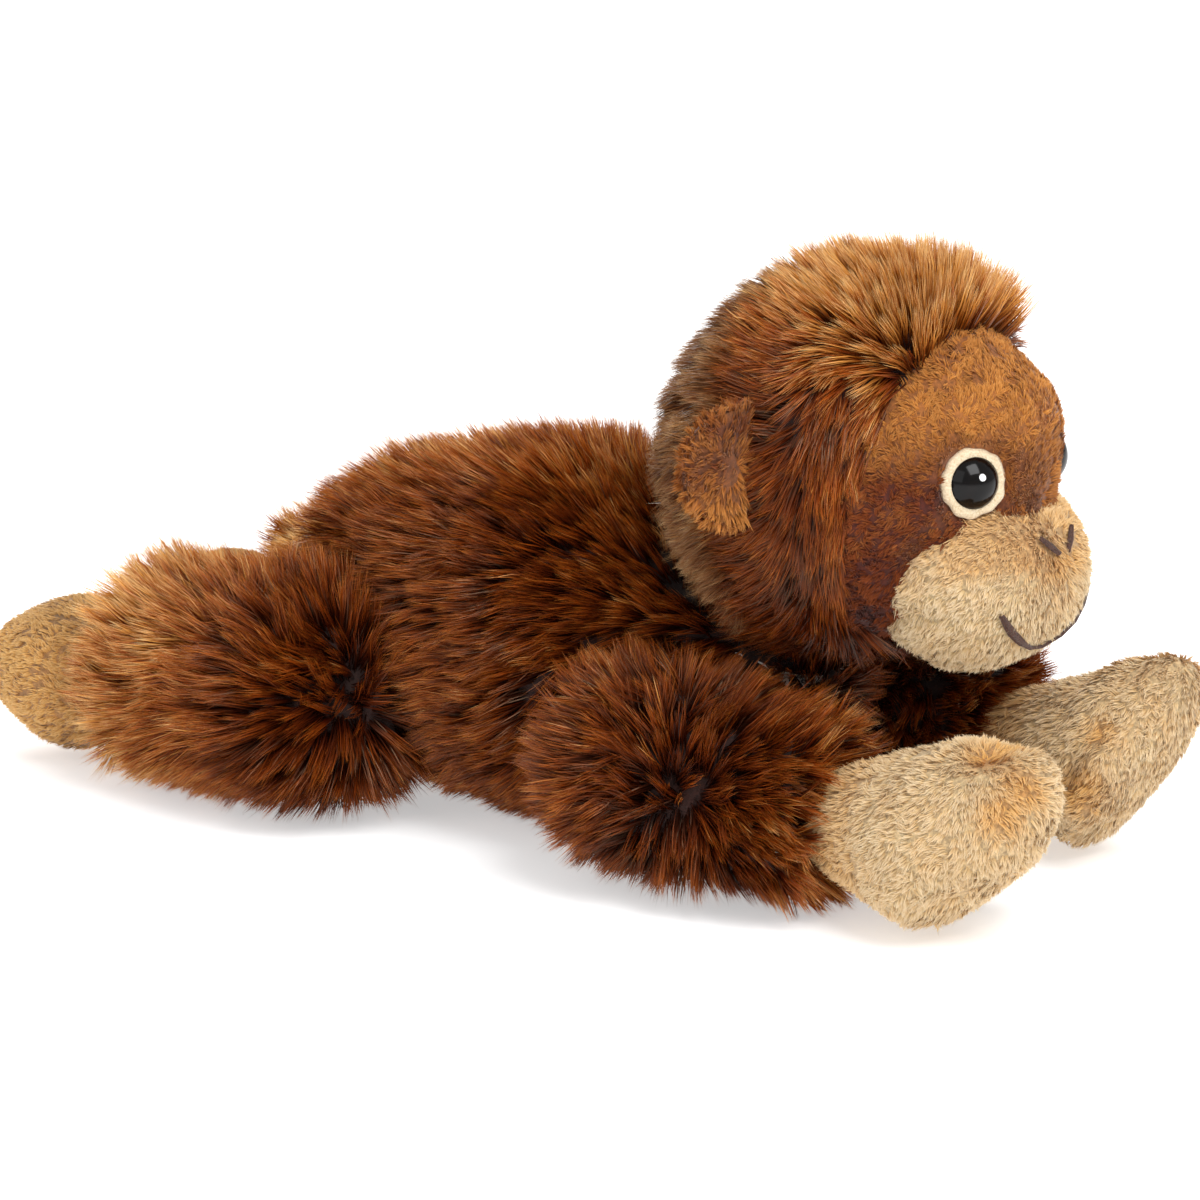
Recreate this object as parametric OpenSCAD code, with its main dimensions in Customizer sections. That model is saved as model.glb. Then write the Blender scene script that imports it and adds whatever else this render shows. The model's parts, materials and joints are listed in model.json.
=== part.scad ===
// Plush orangutan lying on its belly with its head raised.
// The toy faces -Y, its left side is +X, and it rests on Z = 0.
// Every panel is a sewn shell, and the stuffing and the pellets are solids inside it.

/* [Torso] */
// Radius of the belly over its pile
belly_r = 45; // [41:0.5:50]
// Radius of the chest
chest_r = 34; // [31:0.5:40]
// Radius of the rump
rump_r = 37; // [32:0.5:42]
// Distance from the middle of the belly forward to the middle of the chest
chest_reach = 40; // [34:0.5:46]
// Distance from the middle of the belly back to the middle of the rump
rump_reach = 46; // [38:0.5:54]
// Angle at which the back rises towards the head
torso_slope = 3; // [0:0.5:6]
// How much the belly is flattened where the toy lies on it
belly_flat = 1.5; // [0.5:0.1:3]
// Height of the side seam between the back panel and the belly panel
side_seam_z = 28; // [22:0.5:36]
// Radius of the pellet pouch in the belly
pouch_r = 18; // [14:0.5:20]

/* [Head] */
// Radius of the skull over its pile
head_r = 47; // [43:0.5:50]
// Height of the middle of the head
head_z = 100; // [96:0.5:108]
// Distance from the middle of the belly forward to the middle of the head
head_reach = 77; // [72:0.5:84]
// How far the round of the face lies in front of the middle of the head
face_reach = 13; // [10:0.5:16]
// Radius of the round of the face
face_r = 37; // [34:0.5:40]
// How far inside the skull's outline the opening for the face mask lies
mask_edge = 8; // [6:0.5:12]
// How far behind the middle of the head the seam of the back panel lies
crown_seam = 10; // [6:0.5:14]
// Lean of the neck forward from upright
neck_lean = 35; // [30:1:40]
// Radius of the sewn neck seam
neck_seam_r = 21; // [18:0.5:22]

/* [Muzzle] */
// Radius of the muzzle from front to back and from top to bottom
muzzle_r = 23.5; // [21:0.5:26]
// How much wider than round the muzzle is to each side
muzzle_wide = 6.5; // [4:0.5:9]
// How far the middle of the muzzle lies in front of the middle of the head
muzzle_reach = 32.5; // [31:0.5:36]
// How far the middle of the muzzle lies below the middle of the head
muzzle_drop = 23; // [22:0.5:25]
// How far the chin seam lies below the middle of the muzzle
chin_seam_drop = 17.5; // [14:0.5:19]
// How far behind the middle of the muzzle its cover is sewn to the face
muzzle_open = 11; // [10:0.5:14]
// Distance of each nostril's stitches from the middle
nostril_x = 4.5; // [3.5:0.5:6]
// Lift of the nostrils above the middle of the muzzle
nostril_lift = 28; // [20:1:36]
// Slant of the nostrils
nostril_slant = 35; // [15:1:50]
// Length of each nostril's stitches
nostril_l = 5; // [3:0.5:6]
// Radius of the smile's curve at each corner
smile_r = 14; // [11:0.5:16]
// Angle that each corner of the smile turns through
smile_turn = 62; // [45:1:75]

/* [Eyes] */
// Turn of each eye away from straight ahead
eye_turn = 34; // [30:0.5:38]
// Lift of each eye above level
eye_lift = 4; // [2:0.5:7]
// Radius of the eye dome
eye_r = 6.2; // [5.2:0.1:7.2]
// Height of the eye dome
eye_h = 3.6; // [2.8:0.1:4.6]
// Depth of the socket that an eye sits in
eye_sink = 4.6; // [3.8:0.1:5.2]
// Radius of the felt ring round the eye
eye_ring_r = 8.7; // [8:0.1:9.6]
// Thickness of the felt ring
felt = 1.3; // [0.8:0.1:2]
// Radius of the eye's shank
shank_r = 2; // [1.5:0.1:2.6]
// Radius of the washer that locks the shank
washer_r = 5.5; // [4.5:0.1:6]
// Thickness of the washer
washer_t = 1.3; // [1:0.1:2]

/* [Ears] */
// Radius of each ear
ear_r = 14.5; // [12:0.5:17]
// Thickness of each of an ear's two pieces
ear_t = 2.8; // [2:0.1:3.5]
// Height of the ears above the middle of the head
ear_lift = 6; // [2:0.5:10]
// Turn of each ear's root back from straight out
ear_back = 6; // [0:1:12]
// Direction of each ear, turned back from straight out
ear_turn = 20; // [10:1:30]

/* [Arms] */
// Half of the distance between the shoulders
shoulder_x = 42; // [41:0.5:46]
// Distance from the middle of the belly forward to the shoulders
shoulder_reach = 44; // [40:0.5:50]
// Radius of the arm's root
shoulder_r = 25; // [23:0.5:26]
// Half of the distance between the wrists
wrist_x = 39; // [37:0.5:44]
// Distance from the shoulder forward to the wrist
wrist_reach = 58; // [52:0.5:66]
// Radius of the sleeve at the wrist
cuff_r = 20.5; // [19:0.5:22]
// Radius of the hand's root, inside the sleeve
wrist_ball_r = 15.5; // [13:0.5:16]
// Radius of the palm
palm_r = 23; // [20:0.5:24]
// Distance from the wrist forward to the middle of the palm
palm_reach = 21; // [18:0.5:25]
// Radius of the finger end
finger_r = 18; // [15:0.5:20]
// Distance from the wrist forward to the middle of the finger end
finger_reach = 35; // [31:0.5:40]
// Radius of the thumb
thumb_r = 12; // [10:0.5:13]

/* [Legs] */
// Half of the distance between the hips
hip_x = 37; // [35:0.5:42]
// Distance from the middle of the belly back to the hips
hip_reach = 58; // [54:0.5:64]
// Radius of the leg's root
hip_r = 29; // [26:0.5:30]
// Half of the distance between the ankles
ankle_x = 31; // [29:0.5:40]
// Distance from the hip back to the ankle
ankle_reach = 65; // [60:0.5:76]
// Radius of the sleeve at the ankle
ankle_cuff_r = 22; // [21:0.5:24]
// Radius of the foot's root, inside the sleeve
ankle_ball_r = 15.5; // [13:0.5:17]
// Radius of the ball of the foot
foot_r = 21.5; // [19:0.5:23]
// Distance from the ankle back to the ball of the foot
foot_reach = 16; // [13:0.5:20]
// Radius of the toe end
toe_r = 16; // [13:0.5:18]
// Distance from the ankle back to the middle of the toe end
toe_reach = 29; // [26:0.5:34]

/* [Joints] */
// Most that an arm or a leg swings up
limb_raise = 12; // [5:1:15]
// Most that an arm or a leg swings down
limb_lower = 5; // [0:1:8]
// Most that an arm or a leg turns inwards
limb_in = 3; // [0:1:5]
// How far before the wrist or the ankle a sleeve ends
cuff_back = 9.5; // [8:0.5:11]

/* [Fabric and clearances] */
// Thickness of the long pile fabric with its pile pressed down
long_pile = 4; // [3:0.1:5]
// Thickness of the short pile fabric
short_pile = 2.5; // [1.8:0.1:3.2]
// Thickness of the pouch's cotton
pouch_cloth = 0.8; // [0.5:0.1:1.2]
// Gap between panels along a seam, and between a panel and its stuffing
seam_gap = 0.3; // [0.2:0.05:0.5]
// Gap between pieces that move past each other
joint_gap = 0.9; // [0.8:0.1:1.5]
// Radius of the round where a limb is sewn to the body
limb_seam_r = 14; // [11:0.5:16]
// Thickness of a sewn seam's gathered ring
seam_t = 2; // [1.5:0.1:2.5]
// Radius of a stitch
stitch_r = 0.6; // [0.4:0.05:0.8]

/* [Hidden] */
$fn = 64;
FUR = "#8a4a20";
FROSTED = "#9a6a40";
MASK = "#c07838";
CREAM = "#e6cfa4";
FOOT = "#b8935f";
FELT = "#ecd9ae";
WHITE = "#f4f2ec";
BROWN = "#4a2c1c";
BLACK = "#101010";
// Reach of a cut that goes right through the toy
far = 400;
// The face mask is set in from the hood's fur by this much
mask_set = 1;
// Gap between an ear's root and the head
ear_gap = 2;
// How far out from its fold line an ear's cloth starts
ear_start = 1;
// Gap between trim and the fabric that it lies on
trim_gap = 0.2;
// Length by which an eye's shank runs into its dome
lap = 0.6;
// Drop of the smile's middle line below level
smile_drop = 4;
// Heights of the limbs' pivots over their own radii
shoulder_lift = 4.5;
hip_lift = 2;
// Height of the hands and the feet over what the toy lies on
rest_gap = 0.5;
// Slack between a seam ring and the round that it is sewn to, and the ring's width
ring_slack = 0.5;
neck_ring_w = 6.5;
limb_ring_w = 4.5;
// How far behind the middle of the belly the pouch lies
pouch_back = 4;
// Drop of the mask opening's middle below the middle of the head
mask_drop = 4;
// Where a hand's thumb lies: across, as a share of the palm, behind the finger end, and down
thumb_across = 0.68;
thumb_back = 5;
thumb_down = 0.3;
// Tilt of the seams round the hands and the feet
pad_seam_tilt = 25;
// Where the closing stitches lie, turned up from below the rump, and their length
closing_from = 25;
closing_to = 61;
closing_step = 9;
closing_l = 4;

hand_front = shoulder_reach + wrist_reach + finger_reach + finger_r;
toe_back = hip_reach + ankle_reach + toe_reach + toe_r;
// The middle of the belly, placed so that the origin is below the middle of the whole toy
torso_y = (hand_front - toe_back) / 2;
torso_z = belly_r - belly_flat;
head_c = [0, torso_y - head_reach, head_z];
face_c = head_c + [0, -face_reach, 0];
muzzle_c = head_c + [0, -muzzle_reach, -muzzle_drop];
// The skull turns in a round socket of the torso, with the neck seam between them
socket_gap = seam_t + joint_gap;
neck_cut = sqrt(pow(head_r + joint_gap, 2) - pow(neck_seam_r, 2)) - seam_t - joint_gap;
shoulder = [shoulder_x, torso_y - shoulder_reach, shoulder_r + shoulder_lift];
wrist = [wrist_x, shoulder[1] - wrist_reach, palm_r + rest_gap];
hip = [hip_x, torso_y + hip_reach, hip_r + hip_lift];
ankle = [ankle_x, hip[1] + ankle_reach, max(foot_r, ankle_cuff_r) + rest_gap];
// Heights along an eye's line of sight, from the middle of the face
eye_seat = face_r - mask_set - eye_sink;
eye_base = eye_seat + felt + 2 * seam_gap;
eye_ball_r = (eye_r * eye_r + eye_h * eye_h) / (2 * eye_h);
washer_seat = eye_seat - short_pile - seam_gap - washer_t;
ear_root = head_r + ear_gap;
// The mouth's stitches lie on the muzzle, round a line that points slightly down
stitch_lie_r = muzzle_r + stitch_r + trim_gap;
// The knots that join the smile's line to its corners stand clear of the muzzle
knot_r = stitch_r + trim_gap / 2;
smile_a = asin(smile_r / stitch_lie_r);

// ---------- Round forms ----------

// Angle from the rear pole at which the skin leaves ball i for ball i + 1
function leave_angle(balls, i) =
  i < 0 ? 0 :
  i >= len(balls) - 1 ? 180 :
  90 - asin((balls[i + 1][1] - balls[i][1]) / (balls[i + 1][0] - balls[i][0]));

// Half profile of a skin stretched over balls on one line, each given as [place, radius]
function skin_profile(balls, grow, steps = 7) = [
  for (i = [0 : len(balls) - 1])
    let (from = leave_angle(balls, i - 1), to = leave_angle(balls, i), r = balls[i][1] + grow)
      for (k = [0 : steps])
        let (a = from + (to - from) * k / steps)
          [r * sin(a), balls[i][0] - r * cos(a)]
];

// A skin over balls, on a line from start towards end
module skin(start, end, balls, grow = 0) {
  d = end - start;
  translate(start)
    rotate([0, acos(d[2] / norm(d)), atan2(d[1], d[0])])
      rotate_extrude()
        polygon(skin_profile(balls, grow));
}

// Everything on the far side of a plane through a point, along the direction
// that straight up has after the turns
module beyond(point, turns) {
  translate(point)
    rotate(turns)
      translate([-far / 2, -far / 2, 0])
        cube(far);
}

// The toy's left side is drawn, and its right side is the mirror image
module right() {
  mirror([1, 0, 0])
    children();
}

module washer(outer, inner, t) {
  difference() {
    cylinder(r = outer, h = t);
    translate([0, 0, -1])
      cylinder(r = inner, h = t + 2);
  }
}

// ---------- Head ----------

// The skull and the round of the face, cut off flat at the neck seam
module head_form(grow) {
  difference() {
    skin(head_c, face_c, [[0, head_r], [face_reach, face_r]], grow);
    beyond(head_c + (neck_cut + grow) * neck_down(), [neck_lean + 180, 0, 0]);
  }
}

function neck_down() = [0, sin(neck_lean), -cos(neck_lean)];

// The muzzle is a ball drawn out to both sides, pressed in wherever it reaches an eye
module muzzle_form(grow) {
  difference() {
    skin(
      muzzle_c - [muzzle_wide, 0, 0],
      muzzle_c + [muzzle_wide, 0, 0],
      [[0, muzzle_r], [2 * muzzle_wide, muzzle_r]],
      grow,
      $fn = 128
    );
    for (side = [-1, 1])
      at_eye(side)
        translate([0, 0, eye_base - seam_gap + grow])
          cylinder(r = eye_r + seam_gap - grow, h = far / 4);
    shank_holes(face_r / 2 - seam_gap);
  }
}

// The room of the washers that lock the eyes
module washer_rooms(h) {
  for (side = [-1, 1])
    at_eye(side)
      translate([0, 0, washer_seat - seam_gap])
        cylinder(r = washer_r + seam_gap, h = h);
}

// The flat-bottomed sockets that the eyes are drawn down into
module eye_sockets(grow) {
  for (side = [-1, 1])
    at_eye(side)
      translate([0, 0, eye_seat - grow])
        cylinder(r = eye_ring_r + seam_gap + grow, h = far / 4);
}

module shank_holes(start) {
  for (side = [-1, 1])
    at_eye(side)
      translate([0, 0, start])
        cylinder(r = shank_r + seam_gap, h = face_r);
}

module mask_opening(gap) {
  translate([0, face_c[1] + gap, head_c[2] - mask_drop])
    rotate([90, 0, 0])
      cylinder(r = head_r - mask_edge + gap, h = far / 4);
}

module behind_crown_seam(gap) {
  beyond(head_c + [0, crown_seam + gap, 0], [-90, 0, 0]);
}

module head_shell() {
  difference() {
    head_form(0);
    head_form(-long_pile);
  }
}

module head_hood() {
  color(FUR)
    difference() {
      head_shell();
      behind_crown_seam(-seam_gap);
      mask_opening(0);
      muzzle_form(seam_gap);
    }
}

module head_back_panel() {
  color(FROSTED)
    intersection() {
      head_shell();
      behind_crown_seam(0);
    }
}

module face_mask() {
  color(MASK)
    difference() {
      intersection() {
        head_form(-mask_set);
        mask_opening(-seam_gap);
      }
      difference() {
        head_form(-mask_set - short_pile);
        eye_sockets(short_pile);
      }
      eye_sockets(0);
      muzzle_form(seam_gap);
      shank_holes(face_r / 2);
    }
}

// The muzzle cover is open where it is sewn to the face, across this plane
module behind_muzzle_seam() {
  lean = atan2(muzzle_reach - face_reach, muzzle_drop);
  beyond(muzzle_c + muzzle_open * [0, sin(lean), cos(lean)], [-lean, 0, 0]);
}

module muzzle_shell() {
  difference() {
    muzzle_form(0);
    muzzle_form(-short_pile);
    behind_muzzle_seam();
    washer_rooms(washer_t + 2 * seam_gap);
  }
}

module below_chin_seam(gap) {
  beyond(muzzle_c - [0, 0, chin_seam_drop - gap], [180, 0, 0]);
}

module muzzle_cover() {
  color(CREAM)
    difference() {
      muzzle_shell();
      below_chin_seam(seam_gap);
    }
}

module chin_panel() {
  color(CREAM)
    intersection() {
      muzzle_shell();
      below_chin_seam(0);
    }
}

module head_stuffing() {
  color(WHITE)
    difference() {
      head_form(-long_pile - seam_gap);
      muzzle_form(seam_gap);
      eye_sockets(short_pile + seam_gap);
      shank_holes(face_r / 2 - seam_gap);
      washer_rooms(face_r);
    }
}

module muzzle_stuffing() {
  color(WHITE)
    difference() {
      muzzle_form(-short_pile - seam_gap);
      washer_rooms(washer_t + 2 * seam_gap);
    }
}

// ---------- Eyes ----------

// Straight up becomes the way the eye looks, from the middle of the face
module at_eye(side) {
  translate(face_c)
    rotate([90 - eye_lift, 0, side * eye_turn])
      children();
}

module eye_ring(side) {
  color(FELT)
    difference() {
      at_eye(side)
        translate([0, 0, eye_seat + seam_gap])
          washer(eye_ring_r, shank_r + seam_gap, felt);
      muzzle_form(seam_gap);
    }
}

module eye(side) {
  color(BLACK)
    at_eye(side) {
      intersection() {
        translate([0, 0, eye_base + eye_h - eye_ball_r])
          sphere(r = eye_ball_r);
        translate([0, 0, eye_base])
          cylinder(r = 2 * eye_r, h = 2 * eye_h);
      }
      translate([0, 0, face_r / 2])
        cylinder(r = shank_r, h = eye_base - face_r / 2 + lap);
    }
}

module eye_washer(side) {
  color(WHITE)
    at_eye(side)
      translate([0, 0, washer_seat])
        washer(washer_r, shank_r + seam_gap / 4, washer_t);
}

module right_eye_ring() { eye_ring(-1); }
module left_eye_ring() { eye_ring(1); }
module right_eye() { eye(-1); }
module left_eye() { eye(1); }
module right_eye_washer() { eye_washer(-1); }
module left_eye_washer() { eye_washer(1); }

// ---------- Nose and mouth ----------

// Two short slanting satin stitches on the upper front of the muzzle
module nostril_stitches() {
  color(BROWN)
    for (side = [-1, 1])
      translate(muzzle_c + [side * nostril_x, 0, 0])
        rotate([90 - nostril_lift, 0, 0])
          translate([0, 0, stitch_lie_r + trim_gap])
            rotate([0, 90, side * nostril_slant])
              cylinder(r = stitch_r, h = nostril_l, center = true);
}

// The smile runs straight across the middle and turns up round both ends
module mouth_stitches() {
  color(BROWN) {
    translate(muzzle_c)
      rotate([90 + smile_drop + smile_a, 0, 0])
        translate([0, 0, stitch_lie_r])
          rotate([0, 90, 0])
            cylinder(r = stitch_r, h = 2 * muzzle_wide, center = true);
    for (side = [-1, 1])
      translate(muzzle_c + [side * muzzle_wide, 0, 0]) {
        rotate([90 + smile_drop + smile_a, 0, 0])
          translate([0, 0, stitch_lie_r])
            sphere(r = knot_r);
        rotate([90 + smile_drop, 0, 0])
          translate([0, 0, stitch_lie_r * cos(smile_a)])
            rotate([0, 0, side > 0 ? -90 : -90 - smile_turn])
              rotate_extrude(angle = smile_turn)
                translate([smile_r, 0])
                  circle(r = stitch_r);
      }
  }
}

// ---------- Ears ----------

// Straight up is the fold line, and +X leads out along the ear
module at_ear() {
  translate(head_c + [ear_root * cos(ear_back), ear_root * sin(ear_back), ear_lift])
    rotate([0, 0, ear_turn])
      children();
}

// Half profile of one ear piece, thinning towards its rim
function ear_profile() = [
  [0, 0], [ear_r, 0],
  for (a = [0 : 15 : 90])
    [ear_r - ear_t / 2 + ear_t / 2 * cos(a), ear_t / 2 + ear_t / 2 * sin(a)],
  [0, ear_t]
];

module ear_piece(front) {
  color(MASK)
    at_ear()
      difference() {
        translate([0, front ? -seam_gap / 2 : seam_gap / 2, 0])
          rotate([front ? 90 : -90, 0, 0])
            rotate_extrude()
              polygon(ear_profile());
        translate([ear_start - far, -far / 2, -far / 2])
          cube(far);
      }
}

module left_ear_front() { ear_piece(true); }
module left_ear_back() { ear_piece(false); }
module right_ear_front() { right() ear_piece(true); }
module right_ear_back() { right() ear_piece(false); }

// ---------- Torso ----------

module torso_skin(grow) {
  slope = [0, -cos(torso_slope), sin(torso_slope)];
  belly = [0, torso_y, torso_z];
  skin(
    belly - rump_reach * slope,
    belly,
    [[0, rump_r], [rump_reach, belly_r], [rump_reach + chest_reach, chest_r]],
    grow
  );
}

// Where a limb's far end is after it swings and then turns, with its root at the pivot
function turned(v, swing, spread) =
  let (y = v[1] * cos(swing) - v[2] * sin(swing), z = v[1] * sin(swing) + v[2] * cos(swing))
    [v[0] * cos(spread) - y * sin(spread), v[0] * sin(spread) + y * cos(spread), z];

// The room that a limb's root, its seam and its whole travel need beside the body.
// way is -1 for an arm, which lies forward, and 1 for a leg, which lies back.
module limb_room(pivot, root_r, far_end, end_r, way, grow) {
  translate(pivot) {
    sphere(r = root_r + socket_gap + grow);
    for (swing = [-limb_lower, limb_raise]) {
      reach = turned(far_end - pivot, way * swing, way * limb_in);
      rotate([0, acos(reach[2] / norm(reach)), atan2(reach[1], reach[0])])
        cylinder(
          r1 = root_r + joint_gap + grow,
          r2 = end_r + joint_gap + grow,
          h = norm(reach)
        );
    }
  }
}

module torso_form(grow) {
  difference() {
    torso_skin(grow);
    beyond([0, 0, -grow], [180, 0, 0]);
    translate(head_c)
      sphere(r = head_r + socket_gap - grow);
    for (side = [0, 1])
      mirror([side, 0, 0]) {
        limb_room(shoulder, shoulder_r, wrist, cuff_r, -1, -grow);
        limb_room(hip, hip_r, ankle, ankle_cuff_r, 1, -grow);
      }
  }
}

module torso_shell() {
  difference() {
    torso_form(0);
    torso_form(-long_pile);
  }
}

module below_side_seam(gap) {
  beyond([0, 0, side_seam_z + gap], [180, 0, 0]);
}

module torso_back_panel() {
  color(FUR)
    difference() {
      torso_shell();
      below_side_seam(seam_gap);
    }
}

module torso_belly_panel() {
  color(FUR)
    intersection() {
      torso_shell();
      below_side_seam(0);
    }
}

module at_pouch() {
  translate([0, torso_y + pouch_back, pouch_r + 2 * long_pile])
    children();
}

module torso_stuffing() {
  color(WHITE)
    difference() {
      torso_form(-long_pile - seam_gap);
      at_pouch()
        sphere(r = pouch_r + seam_gap);
    }
}

module pellet_pouch() {
  color(CREAM)
    at_pouch()
      difference() {
        sphere(r = pouch_r);
        sphere(r = pouch_r - pouch_cloth);
      }
}

module belly_pellets() {
  color(WHITE)
    at_pouch()
      sphere(r = pouch_r - pouch_cloth - seam_gap);
}

// Ladder stitches that close the body, low down between the legs
module closing_stitches() {
  rump_c = [0, torso_y + rump_reach * cos(torso_slope), torso_z - rump_reach * sin(torso_slope)];
  color(FUR)
    for (a = [closing_from : closing_step : closing_to])
      translate(rump_c)
        rotate([a, 0, 0])
          translate([0, 0, -rump_r - stitch_r - trim_gap / 2])
            rotate([0, 90, 0])
              cylinder(r = stitch_r, h = closing_l, center = true);
}

// The gathered ring where the head is sewn to the body
module neck_seam() {
  color(BROWN)
    translate(head_c)
      rotate([neck_lean + 180, 0, 0])
        translate([0, 0, neck_cut + joint_gap])
          washer(neck_seam_r - ring_slack, neck_seam_r - ring_slack - neck_ring_w, seam_t);
}

// ---------- Limbs ----------

// How far from its pivot a limb's root is cut off flat, for a seam ring of this radius
function root_cut(root_r, seam_r) =
  sqrt(pow(root_r + joint_gap, 2) - pow(seam_r, 2)) - seam_t - joint_gap;

// The gathered ring where a limb is sewn to the body
module limb_seam(pivot, root_r) {
  color(BROWN)
    translate(pivot)
      rotate([0, -90, 0])
        translate([0, 0, root_cut(root_r, limb_seam_r) + joint_gap])
          washer(limb_seam_r - ring_slack, limb_seam_r - ring_slack - limb_ring_w, seam_t);
}

// A sleeve from its root to its cuff, hollowed at the cuff for the hand's or foot's root
module sleeve_form(pivot, root_r, end, end_r, ball_r, grow) {
  reach = norm(end - pivot);
  lean = acos((end[2] - pivot[2]) / reach);
  heading = atan2(end[1] - pivot[1], end[0] - pivot[0]);
  difference() {
    skin(pivot, end, [[0, root_r], [reach, end_r]], grow);
    beyond(pivot - [root_cut(root_r, limb_seam_r) + grow, 0, 0], [0, -90, 0]);
    translate(pivot)
      rotate([0, lean, heading])
        translate([-far / 2, -far / 2, reach - cuff_back + grow])
          cube(far);
    translate(end)
      sphere(r = ball_r + joint_gap - grow);
  }
}

module sleeve(pivot, root_r, end, end_r, ball_r) {
  color(FUR)
    difference() {
      sleeve_form(pivot, root_r, end, end_r, ball_r, 0);
      sleeve_form(pivot, root_r, end, end_r, ball_r, -long_pile);
    }
}

module sleeve_stuffing(pivot, root_r, end, end_r, ball_r) {
  color(WHITE)
    sleeve_form(pivot, root_r, end, end_r, ball_r, -long_pile - seam_gap);
}

// A seam plane through a hand or foot, tilted towards the outside of the toy
module above_pad_seam(point, gap) {
  beyond(point + [0, 0, gap], [0, pad_seam_tilt, 0]);
}

// ---------- Arms and hands ----------

module arm_sleeve() { sleeve(shoulder, shoulder_r, wrist, cuff_r, wrist_ball_r); }

module arm_stuffing() { sleeve_stuffing(shoulder, shoulder_r, wrist, cuff_r, wrist_ball_r); }

// A mitten: root, palm and finger end in one skin, with a thumb on its inner side
module hand_form(grow) {
  skin(
    wrist,
    wrist + [0, -finger_reach, 0],
    [[0, wrist_ball_r], [palm_reach, palm_r], [finger_reach, finger_r]],
    grow
  );
  translate(wrist + [-thumb_across * palm_r, thumb_back - finger_reach, -thumb_down * palm_r])
    sphere(r = thumb_r + grow);
}

module hand_shell() {
  difference() {
    hand_form(0);
    hand_form(-short_pile);
  }
}

module hand_back() {
  color(CREAM)
    intersection() {
      hand_shell();
      above_pad_seam(wrist, seam_gap);
    }
}

module hand_palm() {
  color(CREAM)
    difference() {
      hand_shell();
      above_pad_seam(wrist, 0);
    }
}

module hand_pellets() {
  color(WHITE)
    hand_form(-short_pile - seam_gap);
}

module left_shoulder_seam() { limb_seam(shoulder, shoulder_r); }
module left_arm_sleeve() { arm_sleeve(); }
module left_arm_stuffing() { arm_stuffing(); }
module left_hand_back() { hand_back(); }
module left_hand_palm() { hand_palm(); }
module left_hand_pellets() { hand_pellets(); }
module right_shoulder_seam() { right() limb_seam(shoulder, shoulder_r); }
module right_arm_sleeve() { right() arm_sleeve(); }
module right_arm_stuffing() { right() arm_stuffing(); }
module right_hand_back() { right() hand_back(); }
module right_hand_palm() { right() hand_palm(); }
module right_hand_pellets() { right() hand_pellets(); }

// ---------- Legs and feet ----------

module leg_sleeve() { sleeve(hip, hip_r, ankle, ankle_cuff_r, ankle_ball_r); }

module leg_stuffing() { sleeve_stuffing(hip, hip_r, ankle, ankle_cuff_r, ankle_ball_r); }

// Root, ball and toe end in one skin
module foot_form(grow) {
  skin(
    ankle,
    ankle + [0, toe_reach, 0],
    [[0, ankle_ball_r], [foot_reach, foot_r], [toe_reach, toe_r]],
    grow
  );
}

module foot_shell() {
  difference() {
    foot_form(0);
    foot_form(-short_pile);
  }
}

module foot_top() {
  color(FOOT)
    intersection() {
      foot_shell();
      above_pad_seam(ankle, seam_gap);
    }
}

module foot_sole() {
  color(FOOT)
    difference() {
      foot_shell();
      above_pad_seam(ankle, 0);
    }
}

module foot_pellets() {
  color(WHITE)
    foot_form(-short_pile - seam_gap);
}

module left_hip_seam() { limb_seam(hip, hip_r); }
module left_leg_sleeve() { leg_sleeve(); }
module left_leg_stuffing() { leg_stuffing(); }
module left_foot_top() { foot_top(); }
module left_foot_sole() { foot_sole(); }
module left_foot_pellets() { foot_pellets(); }
module right_hip_seam() { right() limb_seam(hip, hip_r); }
module right_leg_sleeve() { right() leg_sleeve(); }
module right_leg_stuffing() { right() leg_stuffing(); }
module right_foot_top() { right() foot_top(); }
module right_foot_sole() { right() foot_sole(); }
module right_foot_pellets() { right() foot_pellets(); }

// ---------- The toy ----------

head_hood();
head_back_panel();
face_mask();
muzzle_cover();
chin_panel();
head_stuffing();
muzzle_stuffing();
nostril_stitches();
mouth_stitches();
right_eye_ring();
left_eye_ring();
right_eye();
left_eye();
right_eye_washer();
left_eye_washer();
right_ear_front();
right_ear_back();
left_ear_front();
left_ear_back();
neck_seam();
torso_back_panel();
torso_belly_panel();
torso_stuffing();
pellet_pouch();
belly_pellets();
closing_stitches();
right_shoulder_seam();
right_arm_sleeve();
right_arm_stuffing();
right_hand_back();
right_hand_palm();
right_hand_pellets();
left_shoulder_seam();
left_arm_sleeve();
left_arm_stuffing();
left_hand_back();
left_hand_palm();
left_hand_pellets();
right_hip_seam();
right_leg_sleeve();
right_leg_stuffing();
right_foot_top();
right_foot_sole();
right_foot_pellets();
left_hip_seam();
left_leg_sleeve();
left_leg_stuffing();
left_foot_top();
left_foot_sole();
left_foot_pellets();
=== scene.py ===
"""Looks of a plush orangutan lying on its belly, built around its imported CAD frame.

Every sewn panel becomes a soft skin, puffed by cloth simulation, with its own pile of
tapered strands. Metres, with the toy facing -Y and its left side at +X.
"""
import json
import math

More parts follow.
